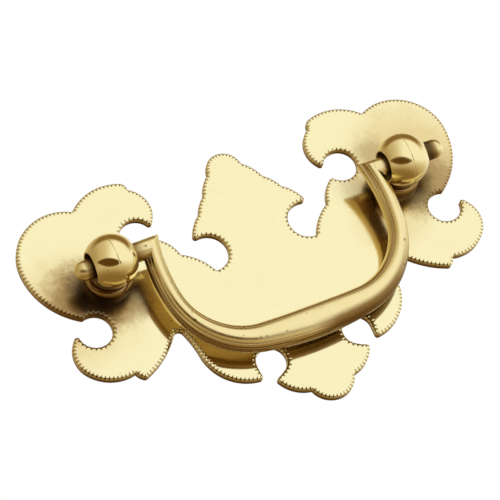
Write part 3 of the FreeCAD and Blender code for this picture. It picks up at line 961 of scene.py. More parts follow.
@dataclass
class Post:
    """A turned ball post with a collar, bored across for the bail's pin."""

    finish: BrassFinish
    node: str
    body: str = "plate"
    slot: str = "post_brass"
    # Neck, collar, shank and the screw's hole
    neck_radius: float = 4.6 * MM
    neck_sink: float = 0.1 * MM
    collar_height: float = 2.6 * MM
    shank_radius: float = 4.0 * MM
    shank_chamfer: float = 0.5 * MM
    hole_radius: float = 1.73 * MM
    hole_depth: float = 9.0 * MM
    # Bore across the ball, its flared mouths, and the seam, with its turn in degrees
    bore_radius: float = 2.6 * MM
    mouth_radius: float = 4.8 * MM
    mouth_depth: float = 2.75 * MM
    rim_round: float = 0.22 * MM
    seam_depth: float = 0.05 * MM
    seam_turn: float = 0.9
    seam_places: tuple[float, ...] = (-1.0, -0.5, 0.5, 1.0)
    # Patina in the bore, deepened as painted shade, and painted shade toward the plate, from 0 for bright
    # to 1 for dark
    skin: float = 0.01 * MM
    bore_patina_and_shade_depth: float = 0.5 * MM
    under_share: float = 0.6
    under_shade: float = 0.7
    foot_shade: float = 0.5
    # Fineness of the mesh, with the crease in degrees
    steps: int = 144
    ball_rows: int = 161
    flare_rows: int = 8
    bore_rows: int = 7
    bead_rows: int = 24
    crease: float = 28.0

    def build(self, plate_front: float, groups: SurfaceGroups) -> bpy.types.Object:
        """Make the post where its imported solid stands.

        Args:
            plate_front: the Y of the plate's front face.
            groups: the shared surface effects.

        Returns:
            The new post.
        """
        low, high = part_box(self.node)
        radius = (high.z - low.z) / 2
        middle = (low.x + high.x) / 2
        ball_y = low.y + radius
        ball_shell = turned(self._ball_profile(radius), Turn.ABOUT_X, self.steps, closed=True)
        ball = ball_shell.to_object(self.node + "_ball")
        ball.data.transform(Matrix.Translation((middle, ball_y, 0.0)))
        stem_profile = self._stem_profile((high.x - low.x) / 2, plate_front, ball_y, radius, high.y)
        stem = turned(stem_profile, Turn.ABOUT_Y, self.steps, closed=False).to_object("stem")
        stem.data.transform(Matrix.Translation((middle, 0.0, 0.0)))
        combine(ball, stem, Join.UNION)
        self._darken(ball.data, Vector((middle, ball_y, 0.0)), radius, plate_front)
        ball.data.materials.clear()
        ball.data.materials.append(self.finish.build(groups))
        smooth(ball, self.crease)
        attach(ball, self.body)
        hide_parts(self.node)
        return ball

    def _darken(self, mesh: bpy.types.Mesh, centre: Vector, radius: float, plate_front: float) -> None:
        """Write the dark share: patina in the bore deepened as painted shade, and painted shade on the
        ball's side toward the plate and at the neck and the foot.

        Args:
            mesh: the post's mesh.
            centre: the ball's middle.
            radius: the ball's radius.
            plate_front: the Y of the plate's front face.
        """
        points = np.empty(len(mesh.vertices) * 3)
        mesh.vertices.foreach_get("co", points)
        local = points.reshape(-1, 3) - np.array(centre)
        depth = radius - np.linalg.norm(local, axis=1)
        # Patina in the bore and its mouths, deepened as painted shade
        bored = np.clip(depth / self.bore_patina_and_shade_depth, 0.0, 1.0)
        # Painted shade on the ball's side toward the plate, and at the foot between the ball and the plate
        under = np.clip(local[:, 1] / (self.under_share * radius), 0.0, 1.0)
        height = plate_front - centre.y - local[:, 1]
        foot = np.clip(2.0 - height / self.collar_height, 0.0, 1.0)
        ball = np.maximum(bored, self.under_shade * under)
        write_patina_and_shade(mesh, np.where(depth > -self.skin, ball, self.foot_shade * foot))

    def _ball_profile(self, radius: float) -> np.ndarray:
        """Ring of (radius, height) about the bore: the ball's outside, its mouths and its bore.

        Args:
            radius: the ball's radius.

        Returns:
            Rows of the ring.
        """
        foot = radius - self.mouth_depth
        slope = (self.mouth_radius - self.bore_radius) / self.mouth_depth
        offset = self.bore_radius - slope * foot
        span = math.sqrt(radius**2 * (1 + slope**2) - offset**2)
        rim = (span - slope * offset) / (1 + slope**2)
        rim_turn = math.degrees(math.acos(rim / radius)) + math.degrees(self.rim_round / radius)
        turns = np.concatenate((
            np.linspace(rim_turn, 180.0 - rim_turn, self.ball_rows),
            90.0 + self.seam_turn * np.array(self.seam_places),
        ))
        turns.sort()
        reach = radius - self.seam_depth * np.clip(1.0 - np.abs(turns - 90.0) / self.seam_turn, 0.0, 1.0)
        outside = np.column_stack((reach * np.sin(np.radians(turns)), reach * np.cos(np.radians(turns))))
        flare = np.linspace(rim - self.rim_round, foot, self.flare_rows)
        left = np.column_stack((offset + slope * flare, -flare))
        right = np.column_stack((offset + slope * flare, flare))[::-1]
        heights = np.linspace(-foot, foot, self.bore_rows + 2)[1:-1]
        bore = np.column_stack((np.full(self.bore_rows, self.bore_radius), heights))
        return np.concatenate((outside, left, bore, right))

    def _stem_profile(
        self, collar: float, plate_front: float, ball_y: float, radius: float, shank_end: float
    ) -> np.ndarray:
        """Open profile of (radius, height) about the post's axis, from the ball to the screw hole.

        Args:
            collar: the collar's radius.
            plate_front: the Y of the plate's front face.
            ball_y: the Y of the ball's middle.
            radius: the ball's radius.
            shank_end: the Y of the shank's end.

        Returns:
            Rows of the profile.
        """
        neck_top = ball_y + math.sqrt(radius**2 - self.neck_radius**2) - self.neck_sink
        bead_round = collar - self.neck_radius
        bead_place = plate_front - self.collar_height + bead_round
        bead = arc((self.neck_radius, bead_place), bead_round, -90.0, 0.0, self.bead_rows)
        floor = shank_end - self.hole_depth
        rows = [
            (self.neck_radius / 2, neck_top),
            (self.neck_radius, neck_top),
            *bead,
            (collar, plate_front),
            (self.shank_radius, plate_front),
            (self.shank_radius, shank_end - self.shank_chamfer),
            (self.shank_radius - self.shank_chamfer, shank_end),
            (self.hole_radius, shank_end),
            (self.hole_radius, floor),
            (self.hole_radius / 2, floor),
        ]
        return np.array(rows)


@dataclass
class Bail:
    """The swinging handle: a moulded bar that swells at the grip, with a pin at each end."""

    finish: BrassFinish
    node: str = "bail"
    body: str = "bail"
    slot: str = "bail_brass"
    # Middle line of the bar, and how it hangs, with the lean in degrees
    half_width: float = 29.5 * MM
    widest_drop: float = 7.0 * MM
    grip_drop: float = 29.5 * MM
    arm_curve: float = 41.0 * MM
    bend_curve: float = 18.4 * MM
    grip_curve: float = 114.0 * MM
    side_play: float = 0.9 * MM
    lean: float = 6.8
    # Cross section, set at the grip, in the bend, at the bend's end and at the top of the arm
    widths: tuple[float, ...] = (7.5 * MM, 5.9 * MM, 4.8 * MM, 4.7 * MM)
    thicknesses: tuple[float, ...] = (5.6 * MM, 5.0 * MM, 4.5 * MM, 4.5 * MM)
    bend_share: float = 0.35
    back_inset: float = 0.75 * MM
    groove_inset: float = 1.15 * MM
    crown_rise: float = 0.85 * MM
    bead_turn: float = 100.0
    groove_flank: float = 0.975
    groove_dip: float = 0.7
    # Fine line on the side, placed by shares of the bead's turn
    side_cut: float = 0.78
    cut_depth: float = 0.16 * MM
    cut_half_width: float = 0.055
    cut_places: tuple[float, ...] = (-1.0, -0.55, -0.2, 0.2, 0.55, 1.0)
    cut_clearance: float = 1.2
    # Round ends of the arms, and the pins with their domes
    arm_end_radius: float = 2.4 * MM
    pin_radius: float = 2.35 * MM
    pin_reach: float = 45.7 * MM
    pin_root: float = 0.4 * MM
    dome_turn: float = 86.0
    # Patina in the fine lines and the grooves, painted shade on the flat back and the outer side, and dirt
    # and painted shade on the pins, from 0 for bright to 1 for dark
    pin_dirt_and_shade_places: tuple[float, ...] = (1.0 * MM, 4.5 * MM, 13.0 * MM, 15.4 * MM, 16.6 * MM)
    pin_dirt_and_shade: tuple[float, ...] = (0.05, 0.6, 1.0, 0.8, 0.0)
    pin_tip_patina: tuple[float, float] = (0.0, 0.15)
    side_places: tuple[float, ...] = (0.0, 0.12, 0.35)
    side_shade: tuple[float, ...] = (0.5, 0.5, 0.42, 0.35)
    back_darkness: float = 0.46
    bead_patina: float = 0.12
    inner_bead_patina: float = 0.3
    inner_bead_clean: float = 0.8
    inner_side_share: float = 0.15
    outer_line_patina: float = 0.8
    inner_line_patina: float = 0.35
    groove_patina: float = 0.5
    # Wear of the right half, which reaches some of the crown's points, and the stronger painted shade on
    # its outer side and back as far as the bend
    fade_share: float = 0.45
    wear_at_middle: float = 0.5
    worn_place: float = 0.7
    worn_reach: int = 12
    worn_half_bead_shade: tuple[float, float] = (0.6, 0.5)
    worn_crown: tuple[int, int] = (6, 17)
    grip_shade_gain: float = 0.6
    # Fineness of the mesh, with the crease in degrees
    step: float = 0.35 * MM
    bead_points: int = 17
    crown_points: int = 39
    back_points: int = 6
    end_sides: int = 73
    pin_sides: int = 72
    pin_rows: int = 12
    dome_rows: int = 24
    crease: float = 24.0

    def build(self, pivot: Vector, groups: SurfaceGroups) -> bpy.types.Object:
        """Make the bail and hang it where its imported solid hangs.

        Args:
            pivot: a point on the line that it swings about.
            groups: the shared surface effects.

        Returns:
            The new bail.
        """
        bar_shell, patina = self._bar()
        known = [(bar_shell.points, patina)]
        bar = bar_shell.to_object("bail_bar")
        combine(bar, self._limit(), Join.OVERLAP)
        for side in (-1, 1):
            profile = self._pin_profile() * np.array((1.0, side))
            # Dirt and painted shade on the pin where it runs into the ball, gone at the dome
            places = self.half_width + np.array(self.pin_dirt_and_shade_places)
            worn = np.interp(np.abs(profile[:, 1]), places, self.pin_dirt_and_shade)
            pin = turned(profile, Turn.ABOUT_X, self.pin_sides, closed=False)
            known.append((pin.points, np.append(np.repeat(worn, self.pin_sides), self.pin_tip_patina)))
            combine(bar, pin.to_object("pin"), Join.UNION)
        carry_patina_and_shade(bar.data, known)
        swing = Matrix.Rotation(math.radians(self.lean), 4, "X")
        place = Matrix.Translation((self.side_play, pivot.y, pivot.z))
        bar.data.transform(place @ swing)
        bar.data.materials.clear()
        bar.data.materials.append(self.finish.build(groups))
        smooth(bar, self.crease)
        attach(bar, self.body)
        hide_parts(self.node)
        return bar

    def _path(self) -> tuple[np.ndarray, np.ndarray, np.ndarray]:
        """Half of the bar's middle line, from the middle of the grip to the top of an arm.

        Returns:
            Points, directions across the bar, and the stations at which its section is set.
        """
        arm = np.array((self.half_width - self.arm_curve, -self.widest_drop))
        grip = np.array((0.0, self.grip_curve - self.grip_drop))
        arm_reach = self.arm_curve - self.bend_curve
        grip_reach = self.grip_curve - self.bend_curve
        apart = np.linalg.norm(grip - arm)
        along = (arm_reach**2 - grip_reach**2 + apart**2) / (2 * apart)
        aside = math.sqrt(arm_reach**2 - along**2)
        line = (grip - arm) / apart
        bend = arm + line * along + np.array((line[1], -line[0])) * aside
        grip_end = math.atan2(*(bend - grip)[::-1])
        arm_foot = math.atan2(*(bend - arm)[::-1])
        overrun = self.widths[-1] / 4
        top = math.asin((self.arm_end_radius + overrun + self.widest_drop) / self.arm_curve)
        stretches = (
            (grip, self.grip_curve, -math.pi / 2, grip_end),
            (bend, self.bend_curve, grip_end, arm_foot),
            (arm, self.arm_curve, arm_foot, top),
        )
        points, across, reached, ends = [], [], 0.0, [0.0]
        for centre, radius, start, stop in stretches:
            length = radius * (stop - start)
            count = max(2, int(length / self.step)) + 1
            angles = np.linspace(start, stop, count)[1 if points else 0:]
            spoke = np.column_stack((np.cos(angles), np.sin(angles)))
            points.extend(centre + radius * spoke)
            across.extend(spoke)
            reached += length
            ends.append(reached)
        in_bend = ends[1] + self.bend_share * (ends[2] - ends[1])
        stations = np.array((0.0, in_bend, ends[2], ends[3]))
        return np.array(points), np.array(across), stations

    def _bead_places(self) -> np.ndarray:
        """Where the section has points along the bead, close together at the side line.

        Returns:
            Shares of the bead's turn, from 0 at the back to 1 in the groove.
        """
        cut = self.side_cut + self.cut_half_width * np.array(self.cut_places)
        plain = np.linspace(0.0, 1.0, self.bead_points)
        plain = plain[np.abs(plain - self.side_cut) > self.cut_clearance * self.cut_half_width]
        return np.sort(np.concatenate((plain, cut, (self.groove_flank,))))

    def _side_line(self) -> np.ndarray:
        """Share of the fine side line at each of the bead's points, 1 in its middle."""
        return np.clip(1.0 - np.abs(self._bead_places() - self.side_cut) / self.cut_half_width, 0.0, 1.0)

    def _side_dips(self, cut: float) -> np.ndarray:
        """How far each point of the bead is cut back: the fine side line and the groove.

        Args:
            cut: share of the side line's depth that wear has left.

        Returns:
            One depth for each of the bead's points.
        """
        groove = self._bead_places() == 1.0
        return self.cut_depth * (cut * self._side_line() + self.groove_dip * groove)

    def _section(
        self, width: float, thickness: float, outer_cut: float, inner_cut: float, wear: float
    ) -> np.ndarray:
        """Outline of the bar's section: outer side and bead, crown, inner bead and side, flat back.

        Args:
            width: the bar's width there.
            thickness: its thickness.
            outer_cut: share of the fine line that is left on the outer side.
            inner_cut: the same on the inner side.
            wear: how far the outer groove is worn away.

        Returns:
            Rows of (across, outward).
        """
        back = np.array((width / 2 - self.back_inset, -thickness / 2))
        groove = np.array((width / 2 - self.groove_inset, thickness / 2 - self.crown_rise))
        turn = math.radians(self.bead_turn)
        chord = groove - back
        radius = np.linalg.norm(chord) / (2 * math.sin(turn / 2))
        aside = np.array((-chord[1], chord[0])) / np.linalg.norm(chord)
        middle = (back + groove) / 2 + aside * radius * math.cos(turn / 2)
        angles = math.atan2(*(back - middle)[::-1]) + turn * self._bead_places()
        spokes = np.column_stack((np.cos(angles), np.sin(angles)))
        outer = middle + (radius - self._side_dips(outer_cut))[:, None] * spokes
        inner = middle + (radius - self._side_dips(inner_cut))[:, None] * spokes
        inner = inner[::-1] * np.array((-1.0, 1.0))
        crown_radius = (groove[0]**2 + self.crown_rise**2) / (2 * self.crown_rise)
        crown_middle = (0.0, thickness / 2 - crown_radius)
        side = math.degrees(math.atan2(groove[1] - crown_middle[1], groove[0]))
        crown = arc(crown_middle, crown_radius, side, 180.0 - side, self.crown_points + 2)[1:-1]
        outer, crown = self._worn(outer, crown, wear)
        behind = np.linspace(inner[-1, 0], outer[0, 0], self.back_points + 2)[1:-1]
        flat = np.column_stack((behind, np.full(self.back_points, back[1])))
        return np.concatenate((outer, crown, inner, flat))

    def _worn(self, outer: np.ndarray, crown: np.ndarray, wear: float) -> tuple[np.ndarray, np.ndarray]:
        """Round off the groove between the outer bead and the crown where hands have worn it.

        Args:
            outer: the outer side's points, up to the groove.
            crown: the crown's points, from the groove on.
            wear: how far the groove is worn away.

        Returns:
            The points of the outer side and of the crown.
        """
        kept = int(np.searchsorted(self._bead_places(), self.worn_place))
        run = np.concatenate((outer[kept:], crown[:self.worn_reach + 1]))
        leave = outer[kept] - outer[kept - 1]
        arrive = crown[self.worn_reach] - crown[self.worn_reach + 1]
        ahead, _ = np.linalg.solve(np.column_stack((leave, -arrive)), run[-1] - run[0])
        corner = run[0] + leave * ahead
        share = np.linspace(0.0, 1.0, len(run))[:, None]
        rounded = (1 - share)**2 * run[0] + 2 * share * (1 - share) * corner + share**2 * run[-1]
        run += wear * (rounded - run)
        split = len(outer) - kept
        side = np.concatenate((outer[:kept], run[:split]))
        return side, np.concatenate((run[split:], crown[self.worn_reach + 1:]))

    def _section_patina_and_shade(self, outer_cut: float, inner_cut: float, wear: float, shade_gain: float) -> np.ndarray:
        """Patina and painted shade of each point of the section: painted shade on the flat back and the
        sides, patina in the grooves and the fine lines.

        Args:
            outer_cut: share of the fine line that is left on the outer side.
            inner_cut: the same on the inner side.
            wear: how far the outer groove is worn away.
            shade_gain: how much darker than plain the back and the sides are.

        Returns:
            One share for each of the section's points.
        """
        places = self._bead_places()
        line = self._side_line()
        # Painted shade on the outer side toward the flat back
        below = shade_gain * np.interp(places, (*self.side_places, self.side_cut), self.side_shade)
        # Painted shade on the outer bead where the right half of the grip is worn
        worn_half_shade = wear * (shade_gain - 1.0) / self.grip_shade_gain
        worn = worn_half_shade * np.interp(places, (self.side_cut, 1.0), self.worn_half_bead_shade)
        outer = np.where(places < self.side_cut, below, np.maximum(self.bead_patina, worn))
        outer = np.maximum(outer, self.outer_line_patina * outer_cut * line)
        outer[-1] = max(worn[-1], self.groove_patina * (1.0 - wear))
        bead = self.inner_bead_patina * (1.0 - self.inner_bead_clean * inner_cut)
        # The inner side takes a small share of the painted shade
        inner = np.where(places < self.side_cut, self.inner_side_share * below, bead)
        inner = np.maximum(inner, self.inner_line_patina * inner_cut * line)
        inner[-1] = self.groove_patina
        # The worn half's painted shade reaches the crown's first points
        crown = np.interp(np.arange(self.crown_points), self.worn_crown, (worn[-1], 0.0))
        # Painted shade on the flat back, which faces the plate
        flat = np.full(self.back_points, shade_gain * self.back_darkness)
        return np.concatenate((outer, crown, inner[::-1], flat))

    def _line_shares(self, along: np.ndarray, stations: np.ndarray) -> np.ndarray:
        """How much of the moulding's lines is left along half of the bar, and how strong its painted shade
        is.

        Hands have worn the right of the grip, and painted shade is stronger on its outer side and back as
        far as the bend.

        Args:
            along: distance of each row from the middle of the grip, negative on the left.
            stations: where the sections are set.

        Returns:
            For each row the share of the outer and of the inner fine line, the groove's wear
            and the gain of the painted shade.
        """
        fade = self.fade_share * stations[1]
        outer = np.clip(-along / fade, 0.0, 1.0)
        inner = np.clip((np.abs(along) - stations[2]) / fade, 0.0, 1.0)
        wear = np.clip(along / fade + self.wear_at_middle, 0.0, 1.0)
        # Stronger painted shade on the right of the grip, fading out through the bend
        clean = np.clip((along - stations[1]) / (stations[2] - stations[1]), 0.0, 1.0)
        shade_gain = 1.0 + self.grip_shade_gain * (1.0 - np.maximum(clean, outer))
        return np.column_stack((outer, inner, wear, shade_gain))

    def _bar(self) -> tuple[Shell, np.ndarray]:
        """Sweep the section along the whole bar, from the top of one arm to the other.

        Returns:
            The closed bar, in the bail's own frame, and the patina and painted shade at each of its points.
        """
        points, across, stations = self._path()
        gaps = np.linalg.norm(np.diff(points, axis=0), axis=1)
        reached = np.concatenate(((0.0,), np.cumsum(gaps)))
        width = ease(reached, stations, np.array(self.widths))
        thickness = ease(reached, stations, np.array(self.thicknesses))
        rows, patina = [], []
        for side in (-1.0, 1.0):
            lines = self._line_shares(side * reached, stations)
            half = []
            for index, (point, spoke) in enumerate(zip(points, across)):
                section = self._section(width[index], thickness[index], *lines[index, :3])
                shares = self._section_patina_and_shade(*lines[index])
                half.append((self._place(point, spoke, section) * np.array((side, 1.0, 1.0)), shares))
            half = half[:0:-1] if side < 0 else half
            rows.extend(row for row, _ in half)
            patina.extend(shares for _, shares in half)
        shell = Shell()
        numbers = shell.add_grid(np.array(rows), wrap_columns=True)
        for ring, flip in ((numbers[0], True), (numbers[-1], False)):
            tip = np.mean([shell.points[number] for number in ring], axis=0)
            shell.close_ring(ring, tip, flip)
        return shell, np.concatenate((*patina, (0.0, 0.0)))

    def _limit(self) -> bpy.types.Object:
        """A long block with a rounded top, which rounds the tops of both arms.

        Returns:
            The block, in the bail's own frame.
        """
        broad, deep = 2 * self.thicknesses[0], 2 * self.grip_drop
        top = arc((0.0, 0.0), self.arm_end_radius, 0.0, 180.0, self.end_sides)
        outline = np.concatenate((top, ((-broad, 0.0), (-broad, -deep), (broad, -deep), (broad, 0.0))))
        reach = 1.5 * self.half_width
        rows = [np.column_stack((np.full(len(outline), end), outline)) for end in (-reach, reach)]
        shell = Shell()
        numbers = shell.add_grid(np.array(rows), wrap_columns=True)
        for ring, end, flip in ((numbers[0], -reach, True), (numbers[1], reach, False)):
            shell.close_ring(ring, np.array((end, 0.0, -self.widest_drop)), flip)
        return shell.to_object("limit")

    @staticmethod
    def _place(point: np.ndarray, spoke: np.ndarray, section: np.ndarray) -> np.ndarray:
        """Stand a section on the bar's middle line.

        Args:
            point: the point on the line, as (x, z).
            spoke: the direction across the bar.
            section: rows of (across, outward).

        Returns:
            Rows of three coordinates.
        """
        flat = point + section[:, :1] * spoke
        return np.column_stack((flat[:, 0], -section[:, 1], flat[:, 1]))

    def _pin_profile(self) -> np.ndarray:
        """Open profile of (radius, height) of a pin with a domed end.

        Returns:
            Rows of the profile.
        """
        dome = arc((0.0, self.pin_reach), self.pin_radius, 0.0, self.dome_turn, self.dome_rows)
        root = self.half_width - self.pin_root
        heights = np.linspace(root, self.pin_reach, self.pin_rows)[:-1]
        side = np.column_stack((np.full(len(heights), self.pin_radius), heights))
        return np.concatenate((((self.pin_radius / 2, root),), side, dome))


@dataclass(frozen=True)
class View:
    """The camera: where it stands and how its picture is turned."""

    place: Vector = field(default_factory=lambda: Vector((-0.18165, -0.48087, -0.20256)))
    right: Vector = field(default_factory=lambda: Vector((0.89133, -0.15580, -0.42574)))
    up: Vector = field(default_factory=lambda: Vector((0.31620, -0.45931, 0.83009)))
    lens: float = 167.87
    sensor: float = 36.0
    nearest: float = 0.01

    def axes(self) -> tuple[Vector, Vector, Vector]:
        """The picture's right, its up, and the way back to the camera, square to each other.

        Returns:
            Three unit directions.
        """
        right = self.right.normalized()
        back = right.cross(self.up).normalized()
        return right, back.cross(right), back

    def build(self) -> bpy.types.Object:
        """Make the camera and hand it to the scene.

        Returns:
            The camera.
        """
        data = bpy.data.cameras.new("photo_view")
        data.lens = self.lens
        data.sensor_width = self.sensor
        data.clip_start = self.nearest
        camera = bpy.data.objects.new("photo_view", data)
        turn = Matrix(self.axes()).transposed().to_4x4()
        camera.matrix_world = Matrix.Translation(self.place) @ turn
        bpy.context.scene.collection.objects.link(camera)
        bpy.context.scene.camera = camera
        return camera


@dataclass(frozen=True)
class Tent:
    """Studio tent round the pull, seen only in reflections.

    It is white on the right and above, dimmer on the left, brown below, dark high up
    behind the pull, and has a dark opening in front.
    """

    view: View
    radius: float = 0.6
    rings: int = 96
    spokes: int = 192
    pole_gap: float = 0.001
    # Brightness from left to right, and by degrees above the level line
    side_places: tuple[float, ...] = (-1.0, -0.9, -0.69, -0.5, -0.35, -0.19, 0.0, 0.1)
    side_levels: tuple[float, ...] = (0.33, 0.35, 0.48, 0.55, 0.63, 0.76, 0.93, 1.0)
    low_places: tuple[float, ...] = (-60.0, -45.0, -30.0, -15.0, 4.0)
    low_levels: tuple[float, ...] = (0.15, 0.20, 0.38, 0.58, 1.0)
    # Dark part above and behind the pull
    roof_level: float = 0.15
    roof_start: float = 0.4
    roof_fade: float = 0.3
    roof_depth: float = 0.25
    # Opening, in degrees to the right and up
    opening_level: float = 0.05
    opening_place: tuple[float, float] = (-6.0, -4.0)
    opening_size: tuple[float, float] = (50.0, 17.0)
    opening_edge: tuple[float, float] = (0.9, 0.2)
    # How the cloth turns brown as it dims
    red_fade: float = 0.74
    blue_fade: float = 1.55

    def build(self) -> bpy.types.Object:
        """Make the tent and its glowing cloth.

        Returns:
            The tent.
        """
        right, up, back = self.view.axes()
        polar = np.linspace(self.pole_gap, math.pi - self.pole_gap, self.rings)[:, None]
        round_turn = np.linspace(0.0, 2 * math.pi, self.spokes, endpoint=False)[None, :]
        across = np.sin(polar) * np.cos(round_turn)
        rise = np.sin(polar) * np.sin(round_turn)
        toward = np.cos(polar) * np.ones_like(round_turn)
        ways = np.stack((across, rise, toward), axis=2)
        shell = Shell()
        shell.add_grid(self.radius * ways @ np.array((right, up, back)), wrap_columns=True)
        tent = shell.to_object("tent")
        level = self._level(ways.reshape(-1, 3))
        cloth = np.column_stack((level**self.red_fade, level, level**self.blue_fade, np.ones(len(level))))
        glow = tent.data.attributes.new("glow", "FLOAT_COLOR", "POINT")
        glow.data.foreach_set("color", cloth.astype(np.float32).ravel())
        tent.data.materials.append(self._cloth())
        tent.data.shade_smooth()
        tent.visible_camera = False
        tent.visible_diffuse = False
        tent.visible_shadow = False
        return tent

    def _level(self, ways: np.ndarray) -> np.ndarray:
        """Brightness of the cloth in each direction.

        Args:
            ways: rows of (right, up, toward the viewer).

        Returns:
            One level from 0 to 1 for each row.
        """
        height = np.degrees(np.arcsin(np.clip(ways[:, 1], -1.0, 1.0)))
        level = np.interp(ways[:, 0], self.side_places, self.side_levels)
        level = np.minimum(level, np.interp(height, self.low_places, self.low_levels))
        behind = np.clip(-ways[:, 2] / self.roof_depth, 0.0, 1.0)
        roof = behind * np.clip((ways[:, 1] - self.roof_start) / self.roof_fade, 0.0, 1.0)
        level = level * (1.0 - roof) + self.roof_level * roof
        side = np.degrees(np.arctan2(ways[:, 0], ways[:, 2])) - self.opening_place[0]
        rise = height - self.opening_place[1]
        lens = (side / self.opening_size[0])**2 + np.abs(rise / self.opening_size[1])
        edge, fade = self.opening_edge
        shut = np.clip((lens - edge) / fade, 0.0, 1.0)
        return level * shut + self.opening_level * (1.0 - shut)

    @staticmethod
    def _cloth() -> bpy.types.Material:
        """Glow that follows the tent's own brightness.

        Returns:
            The material.
        """
        material = bpy.data.materials.new("tent_cloth")
        tree = NodeTree.emptied(material)
        level = tree.add("ShaderNodeAttribute", attribute_name="glow").outputs["Color"]
        glow = tree.feed(tree.add("ShaderNodeEmission"), Color=level, Strength=1.0)
        tree.show(glow.outputs["Emission"])
        material.cycles.emission_sampling = "NONE"
        return material


@dataclass(frozen=True)
class Studio:
    """White surroundings, a pale floor far below, a soft lamp and the tent."""

    view: View
    floor_drop: float = 0.7
    floor_size: float = 8.0
    floor_grain: float = 30.0
    grain_share: float = 0.1
    lamp_power: float = 3.0
    lamp_size: float = 0.9
    lamp_place: tuple[float, float, float] = (0.35, -0.80, 0.75)

    def build(self) -> None:
        """Set up the world, the floor, the lamp and the tent."""
        self._world()
        self._floor()
        self._lamp()
        Tent(self.view).build()
        bpy.context.scene.view_settings.view_transform = "Standard"

    @staticmethod
    def _world() -> None:
        """White surroundings for every ray, so that the metal shows the background."""
        world = bpy.data.worlds.new("studio")
        tree = NodeTree.emptied(world)
        sky = tree.feed(tree.add("ShaderNodeBackground"), Color=Tint.STUDIO_WHITE.value, Strength=1.0)
        tree.show(sky.outputs["Background"], "ShaderNodeOutputWorld")
        world.cycles.sampling_method = "NONE"
        bpy.context.scene.world = world

    def _floor(self) -> None:
        """A pale floor that takes the shadow."""
        half = self.floor_size / 2
        corners = ((-half, -half), (half, -half), (half, half), (-half, half))
        shell = Shell()
        shell.points = [(x, y, -self.floor_drop) for x, y in corners]
        shell.faces = [(0, 1, 2, 3)]
        floor = shell.to_object("floor")
        material = bpy.data.materials.new("pale_floor")
        tree = NodeTree.emptied(material)
        grain = tree.math("MULTIPLY", tree.noise(tree.place(), self.floor_grain), self.grain_share)
        colour = tree.blend(grain, Tint.PALE_FLOOR.value, Tint.STUDIO_WHITE.value)
        matt = tree.feed(tree.add("ShaderNodeBsdfDiffuse"), Color=colour)
        tree.show(matt.outputs["BSDF"])
        floor.data.materials.append(material)

    def _lamp(self) -> None:
        """One wide soft lamp above and in front of the pull."""
        data = bpy.data.lights.new("soft_lamp", "AREA")
        data.energy = self.lamp_power
        data.shape = "RECTANGLE"
        data.size = self.lamp_size
        data.size_y = self.lamp_size
        lamp = bpy.data.objects.new("soft_lamp", data)
        place = Vector(self.lamp_place)
        turn = place.to_track_quat("Z", "Y").to_matrix().to_4x4()
        lamp.matrix_world = Matrix.Translation(place) @ turn
        lamp.visible_glossy = False
        bpy.context.scene.collection.objects.link(lamp)


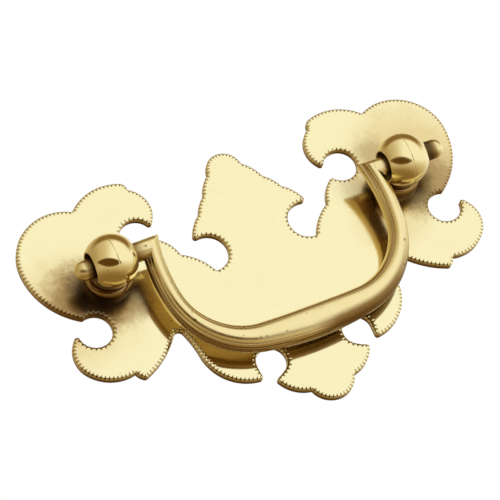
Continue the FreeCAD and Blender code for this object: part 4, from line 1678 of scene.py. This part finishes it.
PLATE_FINISH = BrassFinish(
    name="polished_plate_brass", bright=Tint.POLISHED_BRASS, low_roughness=0.05, high_roughness=0.10,
    cloud_scale=70.0, ripple=0.25, pit_scale=420.0, pit_size=0.16, pit_share=0.05,
    # The golden marks are partly painted reflection of darker surroundings; the dark marks round the posts
    # and the right arm are partly painted shadow and reflection of the balls and the bail, partly tarnish
    spots=(
        Spot(-48.0 * MM, -5.0 * MM, 5.0 * MM, 19.0 * MM, 0.65, Tint.GOLDEN_BRASS_AND_REFLECTION),
        Spot(44.0 * MM, 3.0 * MM, 7.0 * MM, 20.0 * MM, 0.65, Tint.GOLDEN_BRASS_AND_REFLECTION),
        Spot(32.0 * MM, -9.0 * MM, 2.0 * MM, 13.0 * MM, 0.55, Tint.GOLDEN_BRASS_AND_REFLECTION),
        Spot(-44.5 * MM, -3.5 * MM, 6.0 * MM, 12.5 * MM, 0.9, Tint.TARNISH_AND_SHADE_BRASS),
        Spot(-35.5 * MM, -6.5 * MM, 2.5 * MM, 8.0 * MM, 0.8, Tint.TARNISH_AND_SHADE_BRASS),
        Spot(44.0 * MM, -3.5 * MM, 5.0 * MM, 12.5 * MM, 0.8, Tint.TARNISH_AND_SHADE_BRASS),
        Spot(29.0 * MM, 0.0 * MM, 1.0 * MM, 8.5 * MM, 0.5, Tint.TARNISH_AND_SHADE_BRASS),
        Spot(35.5 * MM, 8.0 * MM, 1.5 * MM, 6.5 * MM, 0.5, Tint.TARNISH_AND_SHADE_BRASS),
        Spot(-42.0 * MM, -2.5 * MM, 4.5 * MM, 9.0 * MM, 1.0, Tint.DEEP_TARNISH_AND_SHADE),
        Spot(40.0 * MM, -2.5 * MM, 4.0 * MM, 8.5 * MM, 0.75, Tint.DEEP_TARNISH_AND_SHADE),
        Spot(-34.5 * MM, -4.5 * MM, 1.5 * MM, 5.5 * MM, 0.6, Tint.DEEP_TARNISH_AND_SHADE),
        Spot(32.0 * MM, -2.0 * MM, 1.0 * MM, 5.0 * MM, 0.4, Tint.DEEP_TARNISH_AND_SHADE),
    ),
)
POST_FINISH = BrassFinish(
    name="turned_post_brass", bright=Tint.WARM_BRASS, low_roughness=0.07, high_roughness=0.16,
    cloud_scale=240.0, ripple=0.2, pit_scale=900.0, pit_size=0.25, pit_share=0.10,
)
BAIL_FINISH = BrassFinish(
    name="satin_bail_brass", bright=Tint.SATIN_BRASS, low_roughness=0.2, high_roughness=0.32,
    cloud_scale=160.0, ripple=0.35, pit_scale=800.0, pit_size=0.40, pit_share=0.15,
)


def main() -> None:
    """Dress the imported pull, piece by piece."""
    logging.basicConfig(level=logging.INFO, format="%(message)s")
    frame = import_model()
    groups = SurfaceGroups()
    plate_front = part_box("backplate")[0].y
    pivot = Vector(frame["joints"][0]["pos_m"])

    pieces = [Backplate(PLATE_FINISH).build(frame["nodes"]["backplate"], groups)]
    for node in ("left_post", "right_post"):
        pieces.append(Post(POST_FINISH, node).build(plate_front, groups))
    pieces.append(Bail(BAIL_FINISH).build(pivot, groups))
    for piece in pieces:
        LOG.info("%s: %d faces", piece.name, len(piece.data.polygons))

    view = View()
    view.build()
    Studio(view).build()


if __name__ == "__main__":
    main()
